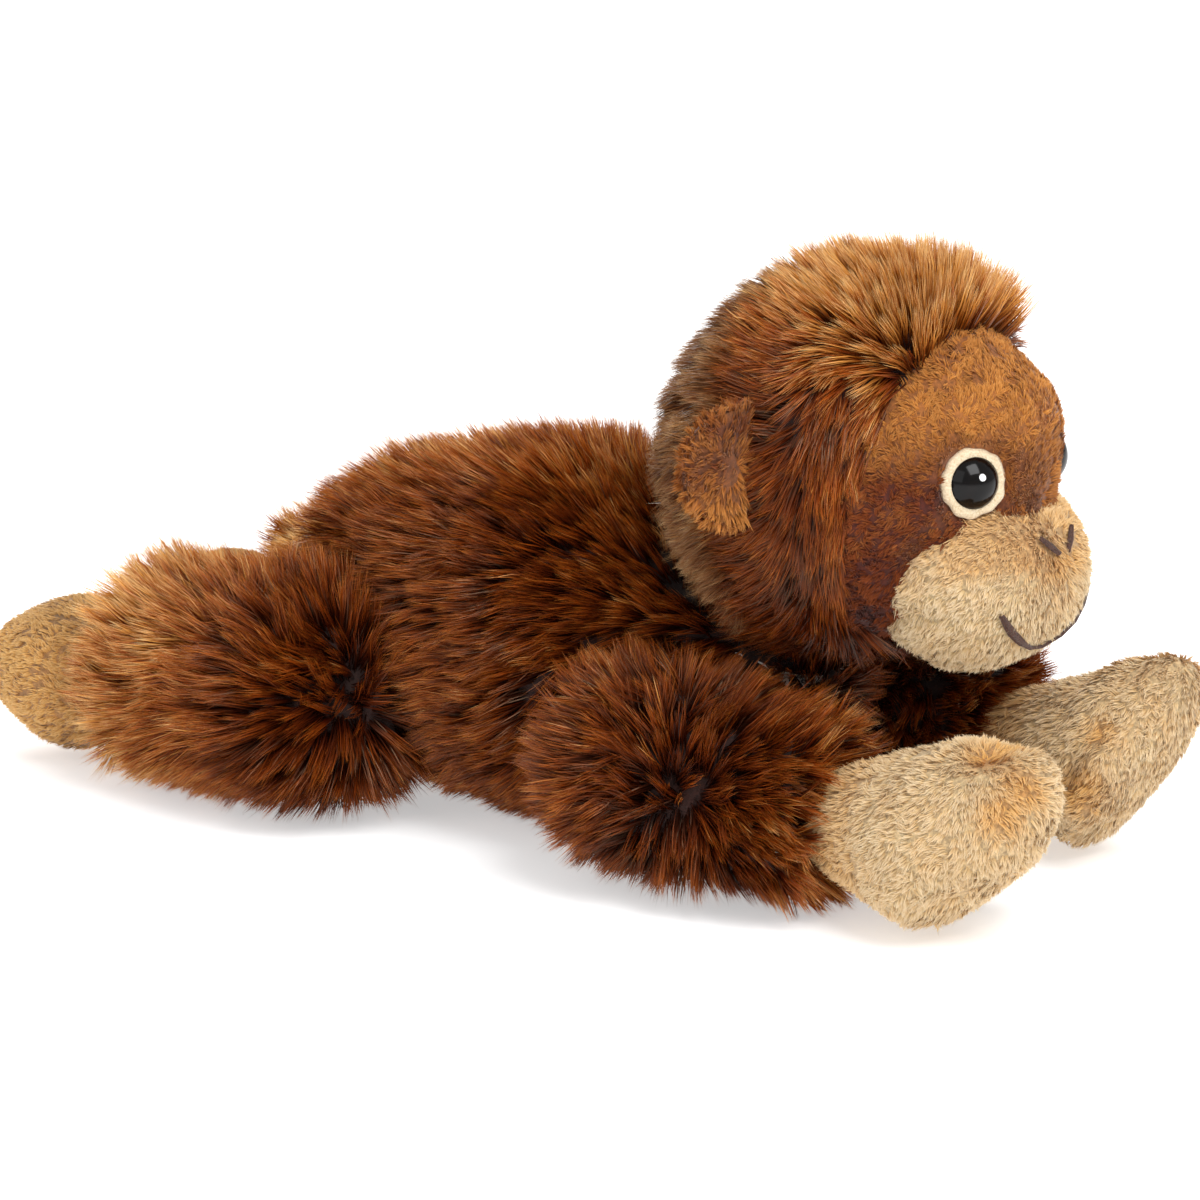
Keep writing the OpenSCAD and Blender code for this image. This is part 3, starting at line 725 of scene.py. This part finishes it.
def make_limb(side, kind):
    sign, limb, body = SIDES[side], LIMBS[kind], side + "_" + kind
    skin = long_skin(body + "_skin", [body + "_sleeve", body + "_stuffing"])
    if kind == "leg":
        raise_calf(skin, side)
    finish_long_skin(skin, body, limb["seed"])
    middle = pivot(body + "_out") + limb["swirl"] * [sign, 1, 1]
    style = dict(LONG, keep=everywhere, length=limb_length(sign, limb["length"]),
                 comb=swirl_comb(middle, limb["lift"]), tone=limb["tone"](side, middle))
    grow(body + "_fur", skin, body, "long_fur", style, body + "_sleeve")


# ---------- Hands and feet ----------

SHORT = dict(sunk=0.35 * MM, tuft_r=0.8 * MM, clump=0.45, width=0.36 * MM, steps=3, strands=7,
             shortest=0.75, wild=0.08, flyaway=0.04, stray=0.25, droop=0.05, bunch=6 * MM, bunched=0.3,
             mixed=0.045, turned=0.3, keep=everywhere)
SHORT_INSET = 1.6 * MM
HAND_BEND = {"right": 24, "left": 38}
HAND_BEND_START = 18 * MM
STITCHES = {
    "right": [((-4, -34, 22), 5, 2.2), ((2, -35, 22), 5, 2.2), ((-6, -43, 17), 5, 1.4),
              ((-10, -41, 12), 5, 1.2)],
    "left": [((6, -36, 28), 5, 2.2), ((4, -31, 21), 6, 2.6), ((-3, -31, 19), 4.5, 2.0),
             ((-9, -30, 16), 4.5, 2.0), ((-15, -29, 11), 4.5, 1.8), ((-23, -27, 0), 6, 1.6)],
}


def even(length):
    """The same length of pile everywhere."""
    return lambda points, normals: np.full(len(points), length)


def bend_hand(skin, side, wrist):
    """Turns the fingers up, as the pellets in the palm let them lie."""
    points = coords(skin.data)
    past = np.maximum(0, wrist[1] - HAND_BEND_START - points[:, 1])
    bend = math.radians(HAND_BEND[side])
    set_coords(skin.data, points + past[:, None] * [0, 1 - math.cos(bend), math.sin(bend)])


def hand_stitches(side, wrist):
    """Where stitches draw the pad in: the place, the radius and the depth of each."""
    return [(wrist + np.array(spot) * MM, r * MM, depth * MM) for spot, r, depth in STITCHES[side]]


def hand_tone(stitches, wrist, points):
    tan = np.zeros(len(points))
    for spot, radius, _ in stitches:
        tan = np.maximum(tan, 0.7 * near_ball(points, spot, 0.3 * radius, 1.4 * radius))
    cuff = ramp(points[:, 1], wrist[1] - 12 * MM, wrist[1])
    return 0.78 - tan - 0.4 * cuff + 0.07 * ripple(points, 9 * MM, 44)


def make_hand(side):
    body, wrist = side + "_hand", pivot(side + "_wrist_bend")
    panels = [body + "_back", body + "_palm"]
    skin = skin_over(body + "_skin", panels + [body + "_pellets"], 2.6 * MM, SHORT_INSET)
    stitches = hand_stitches(side, wrist)
    points = coords(skin.data)                      # the straight hand's: what is held is picked on it
    bend_hand(skin, side, wrist)
    held = np.zeros(len(points), bool)
    for spot, radius, depth in stitches:
        held |= np.linalg.norm(points - spot, axis=1) < 0.6 * radius
        pinch(skin, spot, radius, depth)
    puffed(skin, 2.2 * MM, held)
    finish_skin(skin, body, "cream_plush", hand_tone(stitches, wrist, coords(skin.data)))
    fill_under(skin, body + "_fill", body, "pellets", GRANULES, body + "_pellets")
    first_stitch = stitches[0][0]
    style = dict(SHORT, tufts=0.75, width=0.28 * MM, length=even(3.0 * MM),
                 comb=lambda p, n: (unit(p - first_stitch) + 0.35 * wander(p, 12 * MM, 41), 38.0, 18.0),
                 tone=lambda p, n: hand_tone(stitches, wrist, p))
    grow(body + "_pile", skin, body, "cream_plush", style, *panels)


def make_foot(side):
    body = side + "_foot"
    middle = pivot(side + "_ankle_bend") + np.array([0, 18, 0]) * MM
    panels = [body + "_top", body + "_sole"]
    skin = skin_over(body + "_skin", panels + [body + "_pellets"], 2.8 * MM, SHORT_INSET)
    puffed(skin, 2 * MM)

    def tone(points, normals):
        rim = ramp(np.abs(points[:, 2] - middle[2]), 8 * MM, 20 * MM)
        return 0.8 - 0.6 * rim + 0.08 * ripple(points, 10 * MM, 51)

    finish_skin(skin, body, "foot_plush", tone(coords(skin.data), None))
    fill_under(skin, body + "_fill", body, "pellets", GRANULES, body + "_pellets")
    style = dict(SHORT, tufts=0.8, width=0.3 * MM, length=even(2.6 * MM), tone=tone,
                 comb=lambda p, n: (TAILWARD + 0.4 * wander(p, 14 * MM, 52), 40.0, 20.0))
    grow(body + "_pile", skin, body, "foot_plush", style, *panels)


# ---------- Head ----------

MASK_R = half_size("face_mask")[0]
MASK_CENTRE = np.array([0, 0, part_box("face_mask")[1].z - MASK_R])
HOOD_R = np.linalg.norm(node_points("head_back_panel") - HEAD, axis=1).max() - LONG_INSET
EDGE_POLAR = math.degrees(math.asin(MASK_R / HOOD_R))
CROWN_SEAM_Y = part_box("head_back_panel")[0].y
MASK_INSET = 1.4 * MM
HAIR_OVER_MASK = 1.5 * MM
BROW = MASK_CENTRE + [0, HEAD[1] - 42 * MM, 24 * MM]
BROW_SPREAD, BROW_RISE = 20 * MM, 5.5 * MM
CHEEK_OUT, CHEEK_DOWN = 27 * MM, 13 * MM
FACE_PUFF, FACE_PRESSURE = 1.2 * MM, 3.0


def round_mask(points):
    """Distance from the mask's axis, turn from straight up (0) to the chin (180), and polar angle."""
    across, rise = np.abs(points[:, 0]), points[:, 2] - MASK_CENTRE[2]
    out = np.hypot(across, rise)
    turn = np.degrees(np.arctan2(across, rise))
    polar = np.degrees(np.arctan2(out, HEAD[1] - points[:, 1]))
    return out, turn, polar


def in_mask(points):
    """The hood's hairline comes down over the top of the mask's opening."""
    out, turn, polar = round_mask(points)
    edge = MASK_R + 0.3 * MM - HAIR_OVER_MASK * ramp(turn, 70, 25)
    return (out < edge) & (points[:, 1] < HEAD[1] - 12 * MM)


def head_inset(points):
    return np.where(in_mask(points), MASK_INSET, LONG_INSET)


def hood_comb(points, normals):
    """Upright at the hairline, back over the crown, and down in a flat roll along the mask's sides."""
    out, turn, polar = round_mask(points)
    sign = np.sign(points[:, 0])
    down = np.stack([sign * np.cos(np.radians(turn)), 0 * turn, -np.sin(np.radians(turn))], 1)
    crown = ramp(turn, 56, 24)
    hairline = crown * ramp(polar, EDGE_POLAR + 20, EDGE_POLAR)
    roll = ramp(polar, EDGE_POLAR + 28, EDGE_POLAR + 12) * ramp(turn, 26, 48)
    back = np.stack([0.25 * sign, np.ones(len(turn)), 0.15 - 0.5 * ramp(turn, 60, 110)], 1)
    way = mix(back + 0.16 * wander(points, 22 * MM, 61), down, roll)
    first = mix(mix(32.0, 66.0, crown), 80.0, hairline)
    last = mix(mix(14.0, 46.0, crown), 62.0, hairline)
    return way, mix(first, 10.0, roll), mix(last, 2.0, roll)


def hood_length(points, normals):
    out, turn, polar = round_mask(points)
    crown = ramp(turn, 70, 35)
    hairline = crown * ramp(polar, EDGE_POLAR + 27, EDGE_POLAR)
    roll = ramp(polar, EDGE_POLAR + 12, EDGE_POLAR + 4) * (1 - crown)
    under = ramp(turn, 110, 150)
    return (12.5 + 2.5 * hairline - 1 * roll + 5 * under) * MM


def hood_tone(points, normals):
    out, turn, polar = round_mask(points)
    crown = ramp(turn, 54, 20)
    roll = ramp(polar, EDGE_POLAR + 16, EDGE_POLAR + 6) * (1 - crown)
    low = ramp(turn, 70, 120) * (1 - roll)
    uneven = 0.06 * ripple(points, 20 * MM, 64) + 0.05 * ripple(points, 6 * MM, 67)
    return 0.14 + 0.74 * crown - 0.1 * low + 0.14 * roll + uneven


def back_comb(points, normals):
    away = (points - HEAD) * [1, 0.2, 1]
    way = unit(away) * 0.6 + np.array([0, 0.9, -0.35])
    ridge = ramp(points[:, 1], CROWN_SEAM_Y + 9 * MM, CROWN_SEAM_Y)
    return way, mix(48.0, 74.0, ridge), mix(30.0, 58.0, ridge)


def back_tone(points, normals):
    return 0.28 + 0.15 * ripple(points, 18 * MM, 66) + 0.1 * ripple(points, 6 * MM, 68)


def make_head():
    nodes = ["head_hood", "head_back_panel", "face_mask", "head_stuffing", "muzzle_stuffing"]
    skin = skin_over("head_skin", nodes, 3 * MM, head_inset)
    puffed(skin, FACE_PUFF, None, FACE_PRESSURE)
    shape_face(skin)
    faces = triangles(skin.data)
    masked = in_mask(coords(skin.data)[faces].mean(1))
    mask = add_object("face_mask_skin", part_of("face_mask_skin", skin.data, faces[masked]))
    skin.data = part_of("head_skin", skin.data, faces[~masked])
    finish_skin(skin, "head", "long_fur", 0.5 + 0.3 * ripple(coords(skin.data), 20 * MM, 65))
    finish_skin(mask, "head", "face_plush", mask_tone(coords(mask.data), None))
    style = dict(LONG, tufts=0.36, clump=0.3, bunched=0.12, keep=lambda p, n: p[:, 1] < CROWN_SEAM_Y,
                 length=hood_length, comb=hood_comb, tone=hood_tone)
    grow("head_hood_fur", skin, "head", "long_fur", style, "head_hood")
    style = dict(LONG, tufts=0.28, keep=lambda p, n: p[:, 1] >= CROWN_SEAM_Y,
                 length=even(11.5 * MM), comb=back_comb, tone=back_tone)
    grow("head_back_fur", skin, "head", "frosted_fur", style, "head_back_panel")
    style = dict(SHORT, tufts=1.0, width=0.28 * MM, length=even(2.4 * MM), comb=mask_comb,
                 tone=mask_tone, keep=clear_of_eyes)
    grow("face_mask_pile", mask, "head", "face_plush", style, "face_mask")


def shape_face(skin):
    """A full brow over the eyes, and a crease down each cheek beside the muzzle."""
    points = coords(skin.data)
    full = np.exp(-((points - BROW) ** 2).sum(1) / BROW_SPREAD ** 2) * in_mask(points)
    edge = ramp(MASK_R - round_mask(points)[0], 2 * MM, 14 * MM)
    points = points + np.array([0, -0.95, 0.3]) * (full * edge * BROW_RISE)[:, None]
    set_coords(skin.data, points)
    rise = points[:, 2] - MASK_CENTRE[2] + CHEEK_DOWN
    crease = np.hypot(np.abs(points[:, 0]) - CHEEK_OUT, 0.35 * rise)
    groove(skin, crease, 2.2 * MM, 1.6 * MM, in_mask(points) * 1.0)


def mask_tone(points, normals):
    """Light on the brow and the bridge of the nose, dark round the eyes, down the cheeks and at the rim."""
    rise = points[:, 2] - MASK_CENTRE[2]
    around_eyes = np.zeros(len(points))
    for side in SIDES:
        around_eyes = np.maximum(around_eyes, near_ball(points, EYES[side]["apex"], 11 * MM, 12 * MM))
    brow = ramp(rise, 4 * MM, 20 * MM)
    bridge = ramp(np.abs(points[:, 0]), 14 * MM, 5 * MM) * ramp(rise, -8 * MM, 6 * MM)
    cheek = ramp(rise, -4 * MM, -16 * MM)
    rim = ramp(MASK_R - round_mask(points)[0], 14 * MM, 2 * MM)
    light = 0.64 * np.maximum(brow, 0.7 * bridge)
    dark = 0.12 * around_eyes + 0.16 * cheek + 0.16 * rim
    return 0.2 + light - dark + 0.07 * ripple(points, 11 * MM, 71)


def clear_of_eyes(points, normals):
    """Pile all over the mask but where the eyes' felt lies on it."""
    keep = np.ones(len(points))
    for eye in EYES.values():
        away = points - eye["apex"]
        off_axis = np.linalg.norm(away - (away @ eye["way"])[:, None] * eye["way"], axis=1)
        keep *= (off_axis > eye["ring"] - 0.4 * MM) | (away @ eye["way"] < -14 * MM)
    return keep


def mask_comb(points, normals):
    away = unit((points - MASK_CENTRE) * [1, 0, 1])
    return away + 0.5 * wander(points, 10 * MM, 72), 42.0, 20.0


# ---------- Muzzle ----------

MUZZLE = centre("muzzle_stuffing") * [0, 1, 1]
MUZZLE_R = MUZZLE[1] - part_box("muzzle_cover")[0].y
MUZZLE_WIDE = half_size("muzzle_cover")[0] - MUZZLE_R
STITCH_CLEAR = 2.3 * MM


def on_muzzle(across, lift, height=2.0 * MM):
    """A point on the muzzle's pile, so far to the toy's left and lifted by an angle, in degrees."""
    past = max(0.0, abs(across) - MUZZLE_WIDE)
    round_r = math.sqrt(max((MUZZLE_R - SHORT_INSET + height) ** 2 - past ** 2, 0))
    lift = math.radians(lift)
    return MUZZLE + np.array([across, -round_r * math.cos(lift), round_r * math.sin(lift)])


def out_of_muzzle(point):
    """The way straight out of the muzzle at a point on it."""
    away = point - MUZZLE
    away[0] -= np.clip(away[0], -MUZZLE_WIDE, MUZZLE_WIDE)
    return unit(away)


def muzzle_tone(points, normals):
    """Tan across the top, between the eyes and down to the nostrils, and cream below."""
    lift = np.degrees(np.arctan2(points[:, 2] - MUZZLE[2], MUZZLE[1] - points[:, 1]))
    across = np.abs(points[:, 0])
    edge = 4 + 16 * ramp(across, 8 * MM, 22 * MM)
    upper = ramp(lift, edge - 8, edge + 10) * ramp(across, 31 * MM, 22 * MM)
    below_nose = near_ball(points, on_muzzle(0, 2), 4 * MM, 8 * MM)
    return 0.86 - 0.5 * upper - 0.25 * below_nose + 0.07 * ripple(points, 8 * MM, 81)


def muzzle_comb(points, normals):
    nose = MUZZLE + np.array([0, -0.9, 0.45]) * MUZZLE_R
    way = unit(points - nose) - 0.45 * UP
    return way + 0.3 * wander(points, 9 * MM, 82), 40.0, 20.0


def clear_of_stitches(points):
    """Pile is held down under the nostrils' and the smile's stitches."""
    lines = nostril_lines() + [smile_line()]
    spots = np.concatenate([[a + (b - a) * t for a, b in zip(line, line[1:]) for t in (0, 0.33, 0.67)]
                            for line in lines])
    near = np.min(np.linalg.norm(points[:, None] - spots[None], axis=2), axis=1)
    return near > STITCH_CLEAR


def draw_in_muzzle(skin, chin):
    """The seam over the chin panel, and the crease that parts each jaw from the head."""
    points = coords(skin.data)
    groove(skin, points[:, 2] - chin, 2 * MM, 0.7 * MM, ramp(points[:, 1], MUZZLE[1] - 16 * MM, MUZZLE[1]))
    jaw = points[:, 2] - MUZZLE[2] + 6 * MM + 0.15 * (points[:, 1] - MUZZLE[1])
    groove(skin, jaw, 2 * MM, 1.4 * MM, ramp(points[:, 1], MUZZLE[1] - 9 * MM, MUZZLE[1] - 2 * MM))


def make_muzzle():
    nodes = ["muzzle_cover", "chin_panel", "muzzle_stuffing"]
    skin = skin_over("muzzle_skin", nodes, 2.4 * MM, SHORT_INSET)
    puffed(skin, FACE_PUFF, None, FACE_PRESSURE)
    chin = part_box("chin_panel")[1].z
    draw_in_muzzle(skin, chin)
    finish_skin(skin, "head", "cream_plush", muzzle_tone(coords(skin.data), None))
    fill_under(skin, "muzzle_fill", "head", "stuffing", FILL, "muzzle_stuffing")
    for name, node, above in (("muzzle_pile", "muzzle_cover", True), ("chin_pile", "chin_panel", False)):
        style = dict(SHORT, tufts=0.9, width=0.28 * MM, length=even(2.7 * MM), comb=muzzle_comb,
                     tone=muzzle_tone,
                     keep=lambda p, n, above=above: ((p[:, 2] >= chin) == above) * clear_of_stitches(p))
        grow(name, skin, "head", "cream_plush", style, node)
    return skin


# ---------- Eyes ----------

def cap_ball(radius, height):
    """Radius of the ball that a cap of this radius and height is cut from."""
    return (radius ** 2 + height ** 2) / (2 * height)


def eye_frame(side):
    """Where an eye sits: the way it looks, its dome's top, its radius and its height."""
    washer = node_points(side + "_eye_washer")
    middle = washer.mean(0)
    way = np.linalg.svd(washer - middle, full_matrices=False)[2][2]
    way = way * np.sign(way @ (middle - HEAD))
    points = node_points(side + "_eye") - middle
    rise = points @ way
    top = rise.max()
    outer = np.linalg.norm(points - rise[:, None] * way, axis=1)
    radius = outer.max()
    height = top - rise[outer > radius * 0.98].min()
    ring = node_points(side + "_eye_ring") - middle
    ring_r = np.linalg.norm(ring - (ring @ way)[:, None] * way, axis=1).max()
    return {"way": way, "apex": middle + way * top, "radius": radius, "height": height, "ring": ring_r}


EYES = {side: eye_frame(side) for side in SIDES}
EYE_EDGE = 1.2 * MM
FELT_THICK = 1.3 * MM
# Profile of each eye's painted highlight dot: its radius and height.
GLINT = [(0.02 * MM, 0.12 * MM), (0.65 * MM, 0.1 * MM), (0.85 * MM, 0.03 * MM), (0.9 * MM, -0.2 * MM)]


def ring_quads(rings, sides, base=0):
    """Corners of the faces between rings of points, from the point numbered base."""
    quads = []
    for k in range(base, base + (rings - 1) * sides, sides):
        for j in range(sides):
            quads += [k + j, k + (j + 1) % sides, k + sides + (j + 1) % sides, k + sides + j]
    return quads


def lathe(name, profile, turns, place, way, wave=None):
    """A profile (radius, height) turned round an axis along way, with an optional wavy radius."""
    profile = np.array(profile)
    angles = np.arange(turns) * 2 * math.pi / turns
    radius, height = (np.repeat(profile[:, k:k + 1], turns, 1) for k in (0, 1))
    if wave is not None:
        radius = radius * wave(angles, profile)
    rings = np.stack([radius * np.cos(angles), radius * np.sin(angles), height], 2)
    quads = ring_quads(len(rings), turns)
    turn = Vector(way).to_track_quat("Z", "Y").to_matrix()
    points = rings.reshape(-1, 3) @ np.array(turn).T + place
    return add_object(name, mesh_of(name, points, quads, np.arange(len(quads) // 4) * 4))


def dome_profile(radius, height, steps=14):
    ball = cap_ball(radius, height)
    reach = math.asin(min(1, radius / ball))
    angles = [reach * (1 - k / steps) for k in range(steps)]
    rim = [(radius * 0.2, -EYE_EDGE), (radius * 0.97, -EYE_EDGE), (radius, -EYE_EDGE / 3)]
    arc = [(ball * math.sin(angle), ball * math.cos(angle) - ball + height) for angle in angles]
    return rim + arc + [(0.02 * MM, height)]


def ragged(side, middle_r):
    """Uneven outer edge of hand-cut felt."""
    phases = seeded(side + "_ring").uniform(0, 2 * math.pi, 2)

    def wave(angles, profile):
        notch = 1 + 0.03 * np.sin(5 * angles + phases[0]) + 0.022 * np.sin(11 * angles + phases[1])
        return np.where(profile[:, :1] > middle_r, notch[None], 1.0)
    return wave


def make_eye(side):
    eye = EYES[side]
    way, radius, height = eye["way"], eye["radius"], eye["height"]
    base = eye["apex"] - way * height
    dome = lathe(side + "_eye_dome", dome_profile(radius, height), 48, base, way)
    finish_piece(dome, "head", "eye_dome", EYE_BLACK, side + "_eye")
    outer, inner, felt = eye["ring"] * 0.95, radius * 0.9, FELT_THICK
    profile = [(inner, -felt), (outer * 0.98, -felt), (outer, -0.6 * felt), (outer * 0.97, -0.1 * felt),
               (outer * 0.88, 0.25 * felt), (inner * 1.1, 0.3 * felt), (inner, 0.1 * felt), (inner, -felt)]
    ring = lathe(side + "_eye_felt", profile, 96, base, way, ragged(side, (inner + outer) / 2))
    finish_piece(ring, "head", "eye_felt", FELT, side + "_eye_ring")
    # The painted highlight: a white dot set on the dome, a little up and toward the middle of the face,
    # where the lamps' reflection would show.
    ball = cap_ball(radius, height)
    inward = unit(np.array([-SIDES[side] * 0.3, 0, 0.95]))
    glint_way = unit(way + flattened(inward, way[None])[0] * 0.25)
    middle = eye["apex"] - way * ball + glint_way * (ball + 0.02 * MM)
    finish_piece(lathe(side + "_eye_glint", GLINT, 24, middle, glint_way), "head", "eye_dome", EYE_PAINTED_GLINT)


# ---------- Ears ----------

EAR_ROOT = 7.5 * MM


def shape_ear(skin, sign, hinge):
    """Hollows the ear's front and draws its root into the hood's fur."""
    points = coords(skin.data)
    near = np.exp(-((points - points.mean(0)) ** 2).sum(1) / (8 * MM) ** 2)
    front = normals_of(skin.data) @ -TAILWARD > 0.2
    points = points + TAILWARD * (near * front * 1.6 * MM)[:, None]
    root = ramp(sign * (points[:, 0] - hinge[0]), 5 * MM, 0.5 * MM)
    set_coords(skin.data, points - np.array([sign * EAR_ROOT, 0, 0]) * root[:, None])


def make_ear(side):
    sign, hinge = SIDES[side], pivot(side + "_ear_fold")
    nodes = [side + "_ear_front", side + "_ear_back"]
    skin = skin_over(side + "_ear_skin", nodes, 1.3 * MM, 0.5 * MM)
    shape_ear(skin, sign, hinge)
    puffed(skin, 0.5 * MM, None, 2.0)

    def tone(points, normals):
        low = ramp(points[:, 2], hinge[2] + 2 * MM, hinge[2] - 12 * MM)
        return 0.28 + 0.35 * low + 0.1 * ripple(points, 8 * MM, 91)

    finish_skin(skin, side + "_ear", "face_plush", tone(coords(skin.data), None))
    style = dict(SHORT, tufts=0.7, length=even(3.6 * MM), tone=tone,
                 comb=lambda p, n: (unit((p - hinge) * [1, 0.4, 1]), 32.0, 16.0),
                 keep=lambda p, n: (sign * (p[:, 0] - hinge[0]) > -5 * MM) * 1.0)
    grow(side + "_ear_pile", skin, side + "_ear", "face_plush", style, *nodes)


# ---------- Nose and mouth ----------

THREAD_R = 0.24 * MM
THREAD_SUNK = 0.25 * MM
THREAD_PITCH = 0.34 * MM
PILE_TOP = 1.1 * MM
NOSTRIL = [(7.5, 31), (5, 25), (2.2, 19)]
NOSTRIL_WIDTHS = [1.1 * MM, 2.0 * MM, 1.3 * MM]
SMILE = [(21.5, -14), (20, -20), (17.5, -27), (13, -34), (7.5, -40), (0, -44)]
SMILE_WIDTHS = [1.2 * MM, 2.2 * MM, 2.0 * MM, 1.3 * MM, 0.7 * MM, 0.6 * MM]


def thread_rings(path, radius, sides):
    """Rings round a path of points, closed to a point at both ends."""
    along = unit(np.gradient(path, axis=0))
    side = unit(np.cross(along, np.roll(along, 1, 1) + [0.3, 0.1, 0.2]))
    other = np.cross(along, side)
    angles = np.arange(sides) * 2 * math.pi / sides
    thick = radius * np.sin(np.linspace(0.12, 0.88, len(path)) * math.pi) ** 0.4
    ring = np.cos(angles)[None, :, None] * side[:, None] + np.sin(angles)[None, :, None] * other[:, None]
    return path[:, None] + ring * thick[:, None, None]


def threads(name, paths, sides=6):
    """One mesh of many short threads."""
    points, quads = [], []
    for path in paths:
        quads += ring_quads(len(path), sides, len(points) * len(path) * sides)
        points.append(thread_rings(np.array(path), THREAD_R, sides).reshape(-1, 3))
    return add_object(name, mesh_of(name, np.concatenate(points), quads, np.arange(len(quads) // 4) * 4))


def satin(centre_line, widths, height, slant=0.35):
    """Threads laid side by side across a line on the muzzle."""
    line = np.array(centre_line)
    steps = np.linalg.norm(np.diff(line, axis=0), axis=1)
    total = steps.sum()
    where = np.append(0, np.cumsum(steps)) / total

    def at(share):
        return np.array([np.interp(share, where, line[:, k]) for k in range(3)])

    paths = []
    for s in np.linspace(0, 1, max(2, int(total / THREAD_PITCH))):
        here = at(s)
        along, out = unit(at(min(1, s + 0.02)) - at(max(0, s - 0.02))), out_of_muzzle(here)
        across = unit(np.cross(out, along) + along * slant)
        half = np.interp(s, np.linspace(0, 1, len(widths)), widths) / 2
        paths.append([here + across * half * x + out * height * (1 - x * x) * 0.9 - out * THREAD_SUNK
                      for x in (-1, -0.6, 0, 0.6, 1)])
    return paths


def rest_on(skin, line, height):
    """A line of points brought to a height over a skin."""
    points, normals = coords(skin.data), normals_of(skin.data)
    rested = []
    for point in line:
        near = np.argmin(np.linalg.norm(points - point, axis=1))
        off = (point - points[near]) @ normals[near]
        rested.append(point + normals[near] * (height - off))
    return rested


def nostril_lines():
    return [[on_muzzle(sign * across * MM, lift) for across, lift in NOSTRIL] for sign in SIDES.values()]


def smile_line():
    right = [on_muzzle(-across * MM, lift) for across, lift in SMILE]
    return right + [on_muzzle(across * MM, lift) for across, lift in SMILE[-2::-1]]


def make_stitches(muzzle):
    paths = []
    for line in nostril_lines():
        paths += satin(rest_on(muzzle, line, PILE_TOP), NOSTRIL_WIDTHS, 0.7 * MM)
    finish_piece(threads("nostril_satin", paths), "head", "thread", THREAD, "nostril_stitches")
    widths = SMILE_WIDTHS + SMILE_WIDTHS[-2::-1]
    paths = satin(rest_on(muzzle, smile_line(), PILE_TOP), widths, 0.6 * MM)
    finish_piece(threads("mouth_satin", paths), "head", "thread", THREAD, "mouth_stitches")


# ---------- CAD pieces that stay ----------

def finish_cad_nodes():
    """A grained material for each piece inside the toy."""
    kinds = {"stuffing": FILL, "pellets": GRANULES, "washer": WASHER, "seam": TAPE,
             "pouch": COTTON, "stitches": THREAD}
    for name, piece in frame["nodes"].items():
        for word, material in kinds.items():
            if word in name:
                for slot in piece.material_slots:
                    slot.material = material


# ---------- Studio ----------

FLOOR_HALF = 12
FLOOR_GRAIN = 1 / 3
FLOOR_GLOW = 0.46
SKY_GLOW = 0.56
WHITE = (1, 1, 1, 1)
LIGHTS = {"key": ((-0.35, -0.75, 1.1), 0.8, 14), "fill": ((-1.2, 0.1, 0.7), 1.0, 3),
          "rim": ((0.7, 0.8, 1.0), 0.7, 9)}
VIEW_TARGET = (-0.001, -0.0092, 0.0552)
VIEW_AZIMUTH = math.radians(-56)
VIEW_ELEVATION = math.radians(14)
VIEW_DISTANCE = 1.15
VIEW_LENS = 139.7
VIEW_SENSOR = 36


def make_floor():
    corners = np.array([[-1, -1, 0], [1, -1, 0], [1, 1, 0], [-1, 1, 0]]) * FLOOR_HALF
    floor = add_object("floor", mesh_of("floor", corners, [0, 1, 2, 3], [0]))
    make = Nodes("floor_white", 0.9, 0.0, 0.1)
    noise = make.grain(FLOOR_GRAIN)
    colour = make.colours([(0.3, "#f7f7f7"), (0.7, "#fbfbfb")], noise, "Fac")
    make.shader.inputs["Emission Color"].default_value = WHITE
    make.shader.inputs["Emission Strength"].default_value = FLOOR_GLOW
    floor.data.materials.append(make.finish(colour.outputs["Color"]))


def make_studio():
    make_floor()
    world = bpy.data.worlds.new("studio")
    world.use_nodes = True
    sky = world.node_tree.nodes["Background"].inputs
    sky["Color"].default_value = WHITE
    sky["Strength"].default_value = SKY_GLOW
    bpy.context.scene.world = world
    for name, (place, size, power) in LIGHTS.items():
        add_light(name, place, size, power)
    bpy.context.scene.view_settings.view_transform = "Standard"


def add_light(name, place, size, power):
    data = bpy.data.lights.new(name, "AREA")
    data.size = size
    data.energy = power
    light = bpy.data.objects.new(name, data)
    light.location = place
    light.rotation_mode = "QUATERNION"
    light.rotation_quaternion = (Vector(VIEW_TARGET) - Vector(place)).to_track_quat("-Z", "Y")
    bpy.context.scene.collection.objects.link(light)


def make_camera():
    data = bpy.data.cameras.new("camera")
    data.lens = VIEW_LENS
    data.sensor_width = VIEW_SENSOR
    camera = bpy.data.objects.new("camera", data)
    back = Vector((
        math.sin(VIEW_AZIMUTH) * math.cos(VIEW_ELEVATION),
        -math.cos(VIEW_AZIMUTH) * math.cos(VIEW_ELEVATION),
        math.sin(VIEW_ELEVATION),
    ))
    camera.location = Vector(VIEW_TARGET) + back * VIEW_DISTANCE
    camera.rotation_mode = "QUATERNION"
    camera.rotation_quaternion = (-back).to_track_quat("-Z", "Y")
    bpy.context.scene.collection.objects.link(camera)
    bpy.context.scene.camera = camera


make_camera()
make_studio()
make_torso()
for side in SIDES:
    make_limb(side, "arm")
    make_limb(side, "leg")
    make_hand(side)
    make_foot(side)
    make_ear(side)
    make_eye(side)
make_head()
make_stitches(make_muzzle())
finish_cad_nodes()
